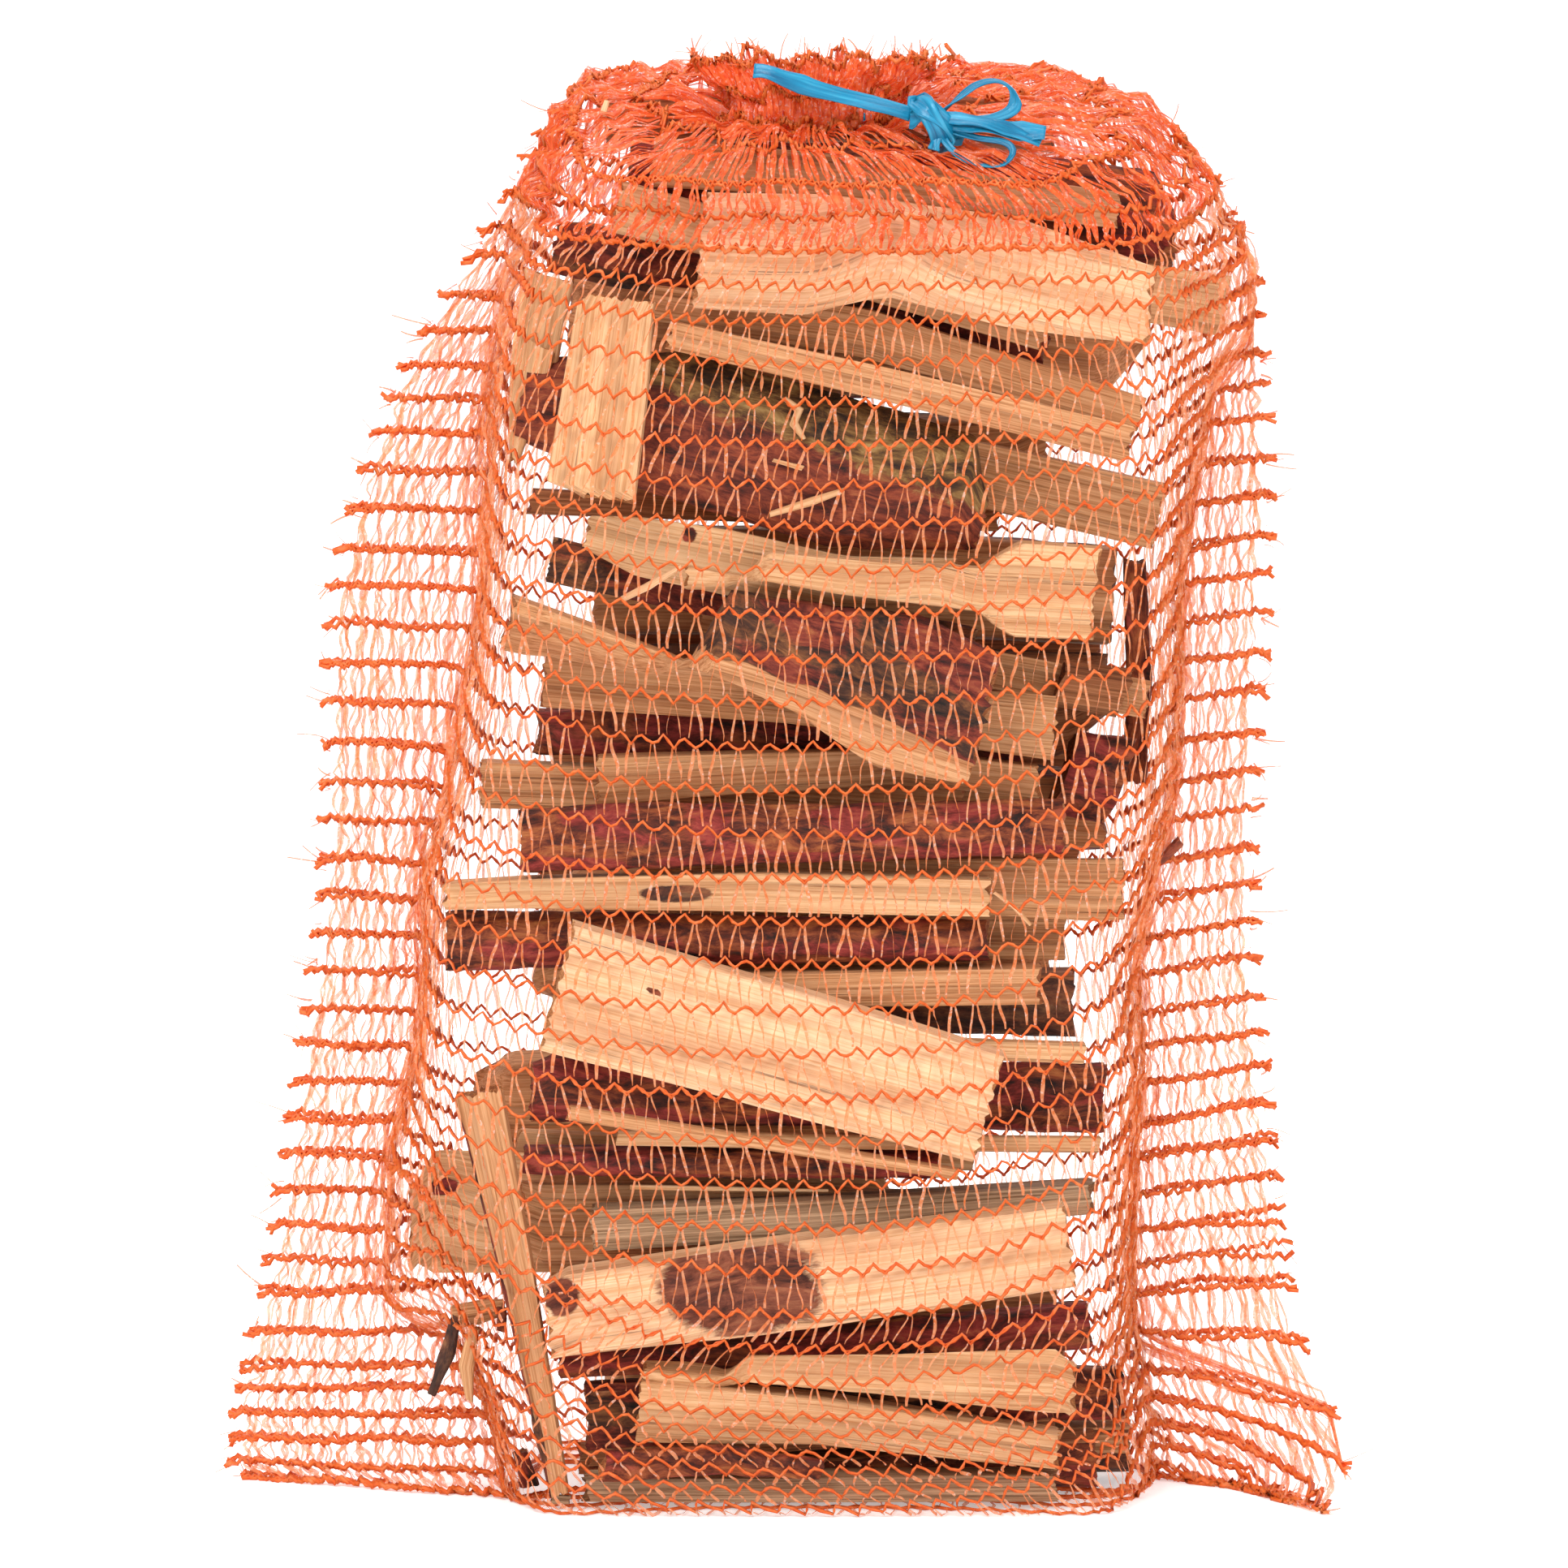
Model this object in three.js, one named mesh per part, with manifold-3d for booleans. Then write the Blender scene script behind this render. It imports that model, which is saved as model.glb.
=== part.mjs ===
// Bag of split firewood: sticks stacked on their sides in a knitted net sack that stands upright,
// its mouth gathered by a flat tape drawstring.  Millimetres, +Z up, front of the bag towards -Y.
// The origin is on the ground under the middle of the bag's box.
import * as THREE from 'three';
import { mergeVertices } from 'three/addons/utils/BufferGeometryUtils.js';
import Module from 'manifold-3d';

const wasm = await Module();
wasm.setup();

// ---------------------------------------------------------------- driving dimensions
const HALF_DEPTH = 72; // sack face to the middle plane
const WALL = 1.5; // net thickness, knit and film together
const WING_THICKNESS = 3; // the two layers of net lying together beside the wood
const TAPE_WIDTH = 8; // drawstring tape
const TAPE_THICKNESS = 1.6; // doubled tape
const NECK = { x: 12, y: -14, z: 558.5, rx: 30, ry: 22, tilt: 11 }; // gathered mouth, tilt in degrees
const KNOT = { x: 60, y: -53, z: 557.5, radius: 8 };

// ---------------------------------------------------------------- materials
const material = (color, roughness) => (
  new THREE.MeshStandardMaterial({ color, roughness, metalness: 0 }));
const splitWood = () => material(0xe3b987, 0.8);
const barkedWood = () => material(0x6e3f33, 0.9);
const knittedNet = () => material(0xff6e32, 0.45);
const tape = () => material(0x1e8cb9, 0.35);

// ---------------------------------------------------------------- helpers
const group = new THREE.Group();

function add(name, geometry, finish) {
  const mesh = new THREE.Mesh(geometry, finish);
  mesh.name = name;
  group.add(mesh);
}

// Triangles between closed loops of points, one after the other, all with the same count.
function skin(loops, indices, loopSize, flip = false) {
  for (let level = 0; level + 1 < loops; level += 1) {
    for (let i = 0; i < loopSize; i += 1) {
      const j = (i + 1) % loopSize;
      const a = level * loopSize + i;
      const b = level * loopSize + j;
      const [first, second] = flip ? [b, a] : [a, b];
      indices.push(first, second, second + loopSize, first, second + loopSize, first + loopSize);
    }
  }
}

function cap(outline, offset, flip, indices) {
  const flat = outline.map(([u, v]) => new THREE.Vector2(u, v));
  for (const [a, b, c] of THREE.ShapeUtils.triangulateShape(flat, [])) {
    if (flip) indices.push(offset + a, offset + c, offset + b);
    else indices.push(offset + a, offset + b, offset + c);
  }
}

function geometryFrom(points, indices) {
  const geometry = new THREE.BufferGeometry();
  geometry.setAttribute('position', new THREE.Float32BufferAttribute(points.flat(), 3));
  geometry.setIndex(indices);
  return geometry;
}

// ---------------------------------------------------------------- sticks
// Cross-sections, anticlockwise seen along the stick: across the stick from -0.5 to 0.5,
// and its depth from 0 at the front to 1 at the back.
const BARK_ARC = [
  [-0.5, 0.5], [-0.42, 0.22], [-0.24, 0.05], [0, 0], [0.24, 0.05], [0.42, 0.22], [0.5, 0.5],
];
const sections = {
  board: [[-0.5, 0.05], [-0.2, 0], [0.2, 0.03], [0.48, 0.01], [0.5, 0.9], [0.3, 1], [-0.2, 0.96],
    [-0.46, 0.99]],
  split: [[-0.5, 0.1], [-0.3, 0], [0.1, 0.05], [0.5, 0.02], [0.46, 0.7], [0.12, 1], [-0.42, 0.78]],
  wedge: [[-0.5, 0.02], [-0.1, 0.06], [0.3, 0], [0.5, 0.06], [0.2, 0.72], [-0.02, 1], [-0.34, 0.62]],
  barkFront: [...BARK_ARC, [0.42, 0.94], [0.1, 1], [-0.4, 0.96]],
  barkBack: [[-0.42, 0.06], [0.02, 0], [0.4, 0.05], ...BARK_ARC.map(([u, d]) => [-u, 1 - d])],
  barkTop: [[-0.5, 0.04], [-0.2, 0], ...BARK_ARC.map(([u, d]) => [0.5 - d * 0.8, u + 0.5]), [-0.46, 0.94]],
  barkLow: [[0.5, 0.96], [0.2, 1], ...BARK_ARC.map(([u, d]) => [d * 0.8 - 0.5, 0.5 - u]), [0.46, 0.06]],
  quarter: [[-0.46, 0.34], [-0.08, 0], [0.12, 0.02], [0.48, 0.36], [0.5, 0.7], [0.34, 0.9], [0, 1],
    [-0.32, 0.93], [-0.5, 0.68]],
};

// Every stick: its name, its cross-section, where its front face lies, how deep it is, and its
// middle line from end to end as x, z and the height there, all in the plane of its front face.
const sticks = [
  // under the mouth
  ['top_log', 'split', -66, 24,
    [[-33, 506, 46.5], [11, 504.4, 49.5], [43, 506.9, 39], [91, 497, 43.5], [146, 484, 31]]],
  ['top_right_stick', 'board', -18, 21, [[-2, 514, 17], [106, 496.5, 22], [179, 484.5, 25]]],
  ['top_middle_billet', 'barkTop', 8, 26, [[-64, 537, 28], [60, 532, 38], [160, 516, 46]]],
  ['top_back_billet', 'barkBack', 37, 25, [[-74, 562, 22], [20, 563, 23], [112, 559, 22]]],
  ['top_left_stick', 'board', -18, 21, [[-53.5, 542.5, 21], [40, 535, 17], [136, 523, 15]]],
  ['second_left_stick', 'split', -40, 20, [[-68, 524.5, 21], [20, 501, 20], [105, 475.5, 19]]],
  ['shoulder_stick', 'barkLow', -18, 21, [[-92.5, 509.5, 24], [10, 488, 22], [106, 464, 19]]],
  ['long_slant_stick', 'board', -42, 21, [[-54, 486, 14.5], [30, 474.5, 20], [144, 440.7, 14.5]]],
  ['grooved_slant_stick', 'split', -66, 22, [[-46, 473, 11.5], [46, 452, 13.5], [138, 429.6, 14.8]]],
  ['back_shoulder_billet', 'quarter', 7, 54, [[-88, 478, 60], [60, 477, 62], [150, 466, 46]]],
  ['upright_offcut', 'board', -67, 14, [[-66, 487, 30], [-71, 450, 35], [-77, 409, 37.5]]],
  // upper half
  ['large_bark_billet', 'barkFront', -50, 25,
    [[-106, 447.5, 33], [-49, 438.2, 58], [23.8, 417.3, 59.5], [81, 408.5, 45]]],
  ['right_brown_stick', 'board', -22, 19, [[-34, 442.5, 22], [60, 421, 26], [152, 399.5, 28]]],
  ['back_upper_billet', 'barkBack', 20, 42, [[-74, 418, 36], [20, 420, 42], [108, 422, 36]]],
  ['pale_left_stick', 'split', -38, 15,
    [[-79.5, 393.8, 14.3], [-58.7, 388.2, 24], [-21.5, 381.5, 27], [23, 372.6, 24], [69, 372, 23]]],
  ['stepped_pale_stick', 'board', -62, 21,
    [[-39, 385.4, 9], [24, 377, 15], [78, 372, 18], [90.5, 372, 38.5], [124.5, 370.2, 38]]],
  ['dark_bark_stick', 'barkTop', -20, 12, [[-95, 382, 18.5], [-10, 364, 18], [77, 346, 16]]],
  ['black_bark_billet', 'barkTop', -64, 24,
    [[-107, 373, 8.4], [-66.4, 362, 16], [-39, 358.5, 31], [11, 344, 45.5], [45, 331, 63], [80, 319.5, 54]]],
  ['curved_pale_stick', 'split', -28, 17, [[-98, 334.3, 24], [0, 326, 20], [110, 314, 27]]],
  ['red_ridged_stick', 'barkFront', -6, 19, [[-101.5, 310.5, 19], [0, 307, 20], [97, 301.5, 18]]],
  ['left_pale_stick', 'board', -8, 21, [[-124, 289, 20], [-20, 286, 17], [74, 281, 16]]],
  ['ribbed_pale_stick', 'board', -28, 17, [[-75.7, 292.8, 20], [45.4, 298.4, 14.5], [103.6, 291.8, 13]]],
  ['right_slant_stick', 'wedge', -5, 18, [[-35, 358, 13], [60, 341, 16], [149, 324, 16.5]]],
  ['back_middle_billet', 'quarter', 16, 46, [[-78, 371, 46], [40, 370, 46], [137, 364, 42]]],
  ['back_low_middle_billet', 'barkBack', 16, 46, [[-98, 322, 46], [40, 321, 46], [134, 318, 44]]],
  ['right_upright_stick', 'board', 18, 14, [[145, 380, 8], [147, 330, 9], [145.5, 287, 8]]],
  // middle
  ['long_bark_billet', 'barkFront', -64, 23,
    [[-106, 270.6, 25], [-61, 272.7, 27], [11, 273.6, 22.5], [112, 276.7, 22]]],
  ['back_red_billet', 'barkBack', 16, 46, [[-62, 278, 32], [40, 279, 36], [134, 275, 34]]],
  ['long_pale_stick', 'board', -58, 21,
    [[-136.5, 248.6, 10.6], [-106, 249.8, 12], [-10.7, 250.6, 16.5], [83, 248, 15.6]]],
  ['right_pale_stick', 'split', -34, 19, [[-58, 255, 14], [40, 251, 20], [137.5, 248.4, 27]]],
  ['dark_long_billet', 'barkFront', -50, 23, [[-137, 228.5, 24], [-90, 229.2, 22], [83, 229, 16]]],
  ['middle_core_billet', 'split', -12, 24, [[-81, 228.7, 24], [20, 230, 23], [115, 229.3, 24.5]]],
  ['lower_pale_stick', 'board', -50, 21, [[-87, 208, 14], [104.5, 211.6, 15]]],
  ['round_end_stick', 'barkLow', -12, 24, [[-75, 200, 23.5], [20, 200, 24], [119, 198.5, 28]]],
  ['front_slant_board', 'board', -69, 16, [[-90.6, 213.6, 55], [0, 188.2, 51], [82.4, 164.8, 46]]],
  ['back_large_billet', 'quarter', 16, 49, [[-103, 221, 62], [20, 219, 68], [111, 216, 64]]],
  ['left_block_stick', 'barkFront', -50, 21, [[-102.5, 169.5, 29], [-20, 166, 25], [73, 163.3, 19]]],
  ['right_red_billet', 'barkFront', -26, 23, [[-61, 167, 25], [40, 163, 27], [131, 161, 29.5]]],
  ['thin_red_stick', 'barkFront', -50, 21, [[-106, 139.5, 10.5], [-20, 138.5, 12], [63, 137.5, 10]]],
  ['back_wide_billet', 'barkBack', 27, 37, [[-130, 146, 52], [-40, 148, 58], [60, 149, 54]]],
  // lower half
  ['left_end_block', 'split', -26, 23, [[-107, 110.8, 35], [-20, 111, 32], [70, 110, 26]]],
  ['grey_long_stick', 'board', -48, 19, [[-78, 111.5, 18], [24, 117, 16], [125.5, 124.6, 12.5]]],
  ['front_bright_board', 'board', -69, 18, [[-95, 80, 35], [10, 94, 37], [115, 109, 34.5]]],
  ['leaning_stick', 'board', -62, 12, [[-122.5, 170, 19], [-108, 100, 14], [-90.5, 5, 7]]],
  ['knot_end_billet', 'wedge', 0, 24, [[-155, 111.7, 54], [-50, 111, 52], [48, 109, 49]]],
  ['core_stick', 'split', -20, 18, [[-72, 74, 28], [30, 72, 30], [112, 71, 24]]],
  ['dark_under_stick', 'barkTop', -42, 19, [[-92, 55.2, 10.4], [20, 62, 15], [124.5, 71.2, 18]]],
  ['lower_wedge_stick', 'wedge', -66, 19, [[-57, 60.2, 6.5], [40, 56.2, 17], [117, 53, 28.6]]],
  ['lower_long_stick', 'board', -66, 19, [[-58.5, 41, 25], [13.7, 37, 19.5], [111.5, 24.3, 15]]],
  ['bottom_left_billet', 'split', -42, 21, [[-80.5, 30.2, 35.5], [15, 35.2, 31], [110, 40, 26]]],
  ['bottom_front_stick', 'board', -62, 19, [[-80.5, 8, 10], [15, 8.4, 11], [110.5, 8.6, 11.4]]],
  ['bottom_block_stick', 'barkLow', -39, 22, [[-84, 6.4, 7], [20, 10, 13], [127.5, 14, 22]]],
  ['red_corner_stick', 'barkTop', -16, 21, [[-55, 37.4, 22.5], [40, 37, 22], [140.5, 37.2, 21]]],
  ['rounded_corner_stick', 'barkLow', -14, 23, [[-59, 12.4, 19], [40, 13, 20], [143.5, 14, 21.5]]],
  ['back_low_billet', 'quarter', 27, 38, [[-98, 84, 46], [0, 83, 50], [104, 84, 44]]],
  ['back_bottom_billet', 'barkBack', 15, 47, [[-76, 29, 50], [20, 30, 53], [118, 28.5, 50]]],
];

// Small differences between sticks that look alike otherwise: saw cuts that aren't quite square,
// and a little twist of the section along the stick.
const cutSkew = (index, end) => 1.6 * Math.sin(index * 2.3 + end * 1.7);
const twist = (index, along) => 0.03 * Math.sin(index * 1.9 + along * 2.1);

function stickGeometry(index, outline, front, depth, line) {
  const points = [];
  const last = line.length - 1;
  const start = new THREE.Vector2(line[0][0], line[0][1]);
  const end = new THREE.Vector2(line[last][0], line[last][1]);
  const along = end.clone().sub(start).normalize();
  const across = new THREE.Vector2(-along.y, along.x);
  line.forEach(([x, z, height], station) => {
    const atEnd = station === 0 || station === last;
    const skew = atEnd ? cutSkew(index, station) : 0;
    for (const [u, d] of outline) {
      const shrink = 1 - Math.abs(twist(index, station));
      const up = u * height * shrink;
      const back = 0.5 + (d - 0.5) * shrink;
      const lengthwise = (skew * up) / 30;
      points.push([
        x + across.x * up + along.x * lengthwise,
        front + depth * back,
        z + across.y * up + along.y * lengthwise,
      ]);
    }
  });
  const indices = [];
  skin(line.length, indices, outline.length, true);
  cap(outline, 0, false, indices);
  cap(outline, last * outline.length, true, indices);
  return geometryFrom(points, indices);
}

sticks.forEach(([name, section, front, depth, line], index) => {
  const finish = section.startsWith('bark') || section === 'quarter' ? barkedWood() : splitWood();
  add(name, stickGeometry(index, sections[section], front, depth, line), finish);
});

// ---------------------------------------------------------------- net sack
// Levels of the body: height, then x of the left wing tip, left root, left corner, right corner,
// right root and right wing tip.  The root is where the wing leaves the wood, in the middle plane.
const levels = [
  [0, -222, -110, -102, 136, 150, 222],
  [6, -229, -114, -107, 139, 151, 232],
  [30, -227, -120, -113, 138, 150, 226],
  [60, -220, -132, -122, 132, 144, 214],
  [80, -215, -162, -130, 134, 142, 209],
  [138, -205, -161, -142, 134, 143, 201],
  [176, -199, -150, -144, 138, 146, 197],
  [215, -193, -146, -143, 132, 143, 193],
  [252, -189, -146, -142, 142, 150, 192],
  [290, -187, -136, -128, 147, 158, 193],
  [330, -187, -128, -119, 149, 160, 195],
  [370, -184, -122, -117, 150, 160, 197],
  [410, -174, -120, -115, 154, 165, 198],
  [450, -159, -118, -112, 158, 172, 196],
  [478, -144, -114, -106, 162, 188, 193],
  [502, -128, -108, -100, 161, 188, 191],
];

// Levels over the shoulder, which rise from front to back: heights at the front and the back,
// then the same six x values.
const shoulder = [
  [522, 545, -110, -102, -94, 152, 172, 176],
  [535, 584, -94, -90, -85, 126, 146, 150],
];

// Gathered mouth: heights at the front and the back, the two radii, and the middle's y.
const mouth = [
  { front: 541, back: 587, rx: 64, ry: 54, y: 0 },
  { front: 546, back: 569, rx: NECK.rx, ry: NECK.ry, y: NECK.y },
  { front: 562, back: 580, rx: 34, ry: 25, y: NECK.y },
  { front: 580, back: 594, rx: 51, ry: 30, y: NECK.y },
];

// Angles of the loop's points on the round mouth, one quarter; the others mirror them.
const QUARTER_ANGLES = [3, 8, 13, 22, 32, 42, 52, 64, 80];
const loopAngles = [
  ...QUARTER_ANGLES,
  ...QUARTER_ANGLES.map((a) => 180 - a).reverse(),
  ...QUARTER_ANGLES.map((a) => 180 + a),
  ...QUARTER_ANGLES.map((a) => 360 - a).reverse(),
];

const heightAt = (front, back, y) => {
  const t = THREE.MathUtils.clamp((y + HALF_DEPTH) / (2 * HALF_DEPTH), 0, 1);
  return front + (back - front) * t ** 0.8;
};

// The right wing's lower corner bends towards the front along the ground.
const cornerBend = (z) => -70 * Math.exp(-z / 18);

// One quarter of the body's outline: tip, middle of the wing, root, side, round corner, face.
// side is 1 or -1 for right or left, face is 1 for the back and -1 for the front.
function quarterOutline(side, face, tip, root, corner, z) {
  const half = WING_THICKNESS / 2;
  const bend = side > 0 ? cornerBend(z) : 0;
  const tipX = side > 0 ? tip - 0.06 * Math.abs(bend) : tip;
  return [
    [tipX, face * half + bend],
    [(tip + root) / 2, face * half + bend * 0.3],
    [root + side * 2, face * half],
    [root - side * 1, face * 24],
    [corner, face * 54],
    [corner - side * 5, face * 65],
    [corner - side * 17, face * (HALF_DEPTH - 1)],
    [corner - side * 50, face * HALF_DEPTH],
    [corner - side * 85, face * HALF_DEPTH],
  ];
}

function bodyLoop(tipL, rootL, cornerL, cornerR, rootR, tipR, z) {
  return [
    ...quarterOutline(1, 1, tipR, rootR, cornerR, z),
    ...quarterOutline(-1, 1, tipL, rootL, cornerL, z).reverse(),
    ...quarterOutline(-1, -1, tipL, rootL, cornerL, z),
    ...quarterOutline(1, -1, tipR, rootR, cornerR, z).reverse(),
  ];
}

// The inside of the same loop: the wing's points draw in to a short span beside the wood.
function insideLoop(rootL, cornerL, cornerR, rootR) {
  const quarter = (side, face, root, corner) => [
    [root - side * WALL * 1.4, face * 3],
    [root - side * WALL * 1.5, face * 8],
    [root - side * WALL * 1.7, face * 14],
    [root - side * (WALL * 1.3 + 1), face * 24],
    [corner - side * WALL * 1.1, face * (54 - WALL * 0.5)],
    [corner - side * (5 + WALL), face * (65 - WALL)],
    [corner - side * (17 + WALL), face * (HALF_DEPTH - 1 - WALL)],
    [corner - side * 50, face * (HALF_DEPTH - WALL)],
    [corner - side * 85, face * (HALF_DEPTH - WALL)],
  ];
  return [
    ...quarter(1, 1, rootR, cornerR),
    ...quarter(-1, 1, rootL, cornerL).reverse(),
    ...quarter(-1, -1, rootL, cornerL),
    ...quarter(1, -1, rootR, cornerR).reverse(),
  ];
}

const mouthLoop = ({ rx, ry, y }, inset) => loopAngles.map((degrees) => {
  const angle = THREE.MathUtils.degToRad(degrees);
  return [NECK.x + (rx - inset) * Math.cos(angle), y + (ry - inset) * Math.sin(angle)];
});

function netSack() {
  const outside = [];
  const inside = [];
  for (const [z, ...widths] of levels) {
    outside.push(bodyLoop(...widths, z).map(([x, y]) => [x, y, z]));
    const floor = Math.max(z, WALL);
    const within = insideLoop(...widths.slice(1, 5));
    if (z === 0 || z > 10) inside.push(within.map(([x, y]) => [x, y, floor]));
  }
  for (const [front, back, ...widths] of shoulder) {
    outside.push(bodyLoop(...widths, back).map(([x, y]) => [x, y, heightAt(front, back, y)]));
    const within = insideLoop(...widths.slice(1, 5));
    inside.push(within.map(([x, y]) => [x, y, heightAt(front, back, y) - WALL]));
  }
  mouth.forEach((ring, step) => {
    const { front, back } = ring;
    const drop = step === 0 ? WALL : 0;
    outside.push(mouthLoop(ring, 0).map(([x, y]) => [x, y, heightAt(front, back, y)]));
    inside.push(mouthLoop(ring, WALL).map(([x, y]) => [x, y, heightAt(front, back, y) - drop]));
  });
  const size = loopAngles.length;
  const loops = [...outside, ...inside.reverse()];
  const indices = [];
  skin(loops.length, indices, size);
  cap(outside[0].map(([x, y]) => [x, y]), 0, true, indices);
  const innermost = loops[loops.length - 1];
  cap(innermost.map(([x, y]) => [x, y]), (loops.length - 1) * size, false, indices);
  return geometryFrom(loops.flat(), indices);
}

add('net_sack', netSack(), knittedNet());

// ---------------------------------------------------------------- drawstring
// A solid of manifold-3d from a closed three.js geometry, and back.
function solidOf(geometry) {
  const plain = geometry.clone();
  plain.deleteAttribute('normal');
  plain.deleteAttribute('uv');
  const merged = mergeVertices(plain, 1e-3);
  return new wasm.Manifold(new wasm.Mesh({
    numProp: 3,
    vertProperties: new Float32Array(merged.attributes.position.array),
    triVerts: new Uint32Array(merged.index.array),
  }));
}

function geometryOf(solid) {
  const mesh = solid.getMesh();
  const geometry = new THREE.BufferGeometry();
  geometry.setAttribute('position', new THREE.Float32BufferAttribute(mesh.vertProperties, 3));
  geometry.setIndex(new THREE.Uint32BufferAttribute(mesh.triVerts, 1));
  return geometry;
}

const curveThrough = (points) => new THREE.CatmullRomCurve3(points.map((p) => new THREE.Vector3(...p)));

// A round-edged tape drawn as an eight-sided section along a curve.
function tapeAlong(points, steps, radius) {
  const section = new THREE.Shape();
  for (let side = 0; side < 8; side += 1) {
    const angle = (side + 0.5) * (Math.PI / 4);
    const move = side === 0 ? 'moveTo' : 'lineTo';
    section[move](radius * Math.cos(angle), radius * Math.sin(angle));
  }
  return new THREE.ExtrudeGeometry(section, { steps, extrudePath: curveThrough(points) });
}

// The part that runs in the hem: a flat band inside the gathered neck, tilted with it.
function drawstringRing() {
  const outer = NECK.ry - WALL - 1.2;
  const half = TAPE_WIDTH / 2;
  const profile = [
    new THREE.Vector2(outer - TAPE_THICKNESS, -half),
    new THREE.Vector2(outer, -half),
    new THREE.Vector2(outer, half),
    new THREE.Vector2(outer - TAPE_THICKNESS, half),
    new THREE.Vector2(outer - TAPE_THICKNESS, -half),
  ];
  const band = new THREE.LatheGeometry(profile, 40);
  band.rotateX(Math.PI / 2);
  band.scale(NECK.rx / NECK.ry - 0.02, 1, 1);
  band.rotateX(THREE.MathUtils.degToRad(NECK.tilt));
  band.translate(NECK.x, NECK.y, NECK.z);
  return band;
}

// The doubled tape from where it comes out of the hem, over the frill, to the knot.
const RUN = [
  [-12, -52, 577], [-9, -53, 577], [-5, -54, 576], [0, -54, 574], [6, -54, 572], [12, -53.5, 570],
  [18, -53, 568.5], [24, -52, 567], [30, -52, 565.5], [36, -52, 564], [42, -52.5, 562.5],
  [47, -53, 561], [50.3, -53, 560],
];

// The knot with its two loops and two ends, all one piece of tape.
function drawstringBow() {
  const { x, y, z, radius } = KNOT;
  const core = new THREE.SphereGeometry(radius, 16, 10);
  core.scale(1, 0.75, 0.95);
  core.translate(x, y, z);
  const upperLoop = tapeAlong([
    [x + 3, y - 1, z + 3], [x + 14, y - 1, z + 10], [x + 26, y - 1, z + 14],
    [x + 33, y - 2, z + 11], [x + 35, y - 4, z + 4], [x + 30, y - 6, z - 1],
    [x + 16, y - 5, z - 1], [x + 3, y - 3, z - 1],
  ], 20, 1.6);
  const lowerLoop = tapeAlong([
    [x + 2, y - 4, z - 3], [x + 6, y - 9, z - 8], [x + 12, y - 13, z - 13],
    [x + 20, y - 15.5, z - 15.5], [x + 27, y - 16, z - 15.5], [x + 30, y - 15.5, z - 11.5],
    [x + 27, y - 13, z - 8],
    [x + 16, y - 10, z - 6],
  ], 24, 1.6);
  const tail = tapeAlong([
    [x + 4, y - 5, z + 1], [x + 18, y - 10, z - 2], [x + 32, y - 13, z - 5], [x + 45, y - 14, z - 7],
  ], 8, 3);
  const stub = tapeAlong([[x, y - 4, z - 3], [x - 1, y - 8, z - 7], [x - 1, y - 12, z - 13]], 4, 2);
  return geometryOf([upperLoop, lowerLoop, tail, stub]
    .reduce((sum, piece) => sum.add(solidOf(piece)), solidOf(core)));
}

add('drawstring_ring', drawstringRing(), tape());
add('drawstring_run', tapeAlong(RUN, 30, 2.2), tape());
add('drawstring_bow', drawstringBow(), tape());

export default group;
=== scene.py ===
"""Bag of split firewood: knitted net sack, split sticks, blue tape drawstring, stage and camera."""
import math

import bpy
import numpy as np
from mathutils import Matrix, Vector
from mathutils.bvhtree import BVHTree


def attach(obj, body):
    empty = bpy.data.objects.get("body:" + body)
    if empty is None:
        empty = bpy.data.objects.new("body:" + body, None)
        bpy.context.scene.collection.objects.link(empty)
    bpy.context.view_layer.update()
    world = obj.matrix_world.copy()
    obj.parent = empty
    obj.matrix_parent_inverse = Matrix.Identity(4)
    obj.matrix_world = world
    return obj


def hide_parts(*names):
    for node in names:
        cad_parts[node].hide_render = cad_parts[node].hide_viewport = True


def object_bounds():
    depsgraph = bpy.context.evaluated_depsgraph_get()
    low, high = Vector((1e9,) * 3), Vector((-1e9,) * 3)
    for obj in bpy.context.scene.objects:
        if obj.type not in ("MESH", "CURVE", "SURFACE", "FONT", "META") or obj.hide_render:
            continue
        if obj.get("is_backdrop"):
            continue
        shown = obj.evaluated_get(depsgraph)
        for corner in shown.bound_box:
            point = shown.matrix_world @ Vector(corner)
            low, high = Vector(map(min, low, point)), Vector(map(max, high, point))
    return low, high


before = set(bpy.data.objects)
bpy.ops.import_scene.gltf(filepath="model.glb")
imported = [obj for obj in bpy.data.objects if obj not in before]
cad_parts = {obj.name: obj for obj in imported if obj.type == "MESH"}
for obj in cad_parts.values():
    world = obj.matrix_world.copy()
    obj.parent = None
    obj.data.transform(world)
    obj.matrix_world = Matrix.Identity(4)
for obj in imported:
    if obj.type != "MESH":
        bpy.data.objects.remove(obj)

bl_info = {
    "name": "Firewood Net Bag",
    "version": (1, 0, 0),
    "blender": (4, 5, 0),
    "location": "View3D > Sidebar > Firewood",
    "description": "Builds a knitted net sack of split firewood over its CAD frame",
    "category": "Object",
}

CAD_BOX = [list(corner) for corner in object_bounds()]
MM = 0.001


# ------------------------------------------------------------------ settings
def length(name, description, size):
    return bpy.props.FloatProperty(name=name, description=description, default=size * MM,
                                   unit="LENGTH")


class FIREWOOD_PG_net(bpy.types.PropertyGroup):
    """Sizes and colours of the knitted net."""
    wales: bpy.props.IntProperty(
        name="Wales", description="Stitches across one layer of the sack", default=64)
    chain_thickness: length("Chain thickness", "Thickness of one strand of a knitted row", 1.45)
    zigzag: length("Zigzag", "Height of a row's zigzag on the stretched front", 1.45)
    tape_width: length("Tape width", "Widest film tape between two rows", 1.42)
    colour: bpy.props.StringProperty(
        name="Net colour", description="Colour of the polyethylene net, sRGB hex", default="FC8034")


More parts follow.
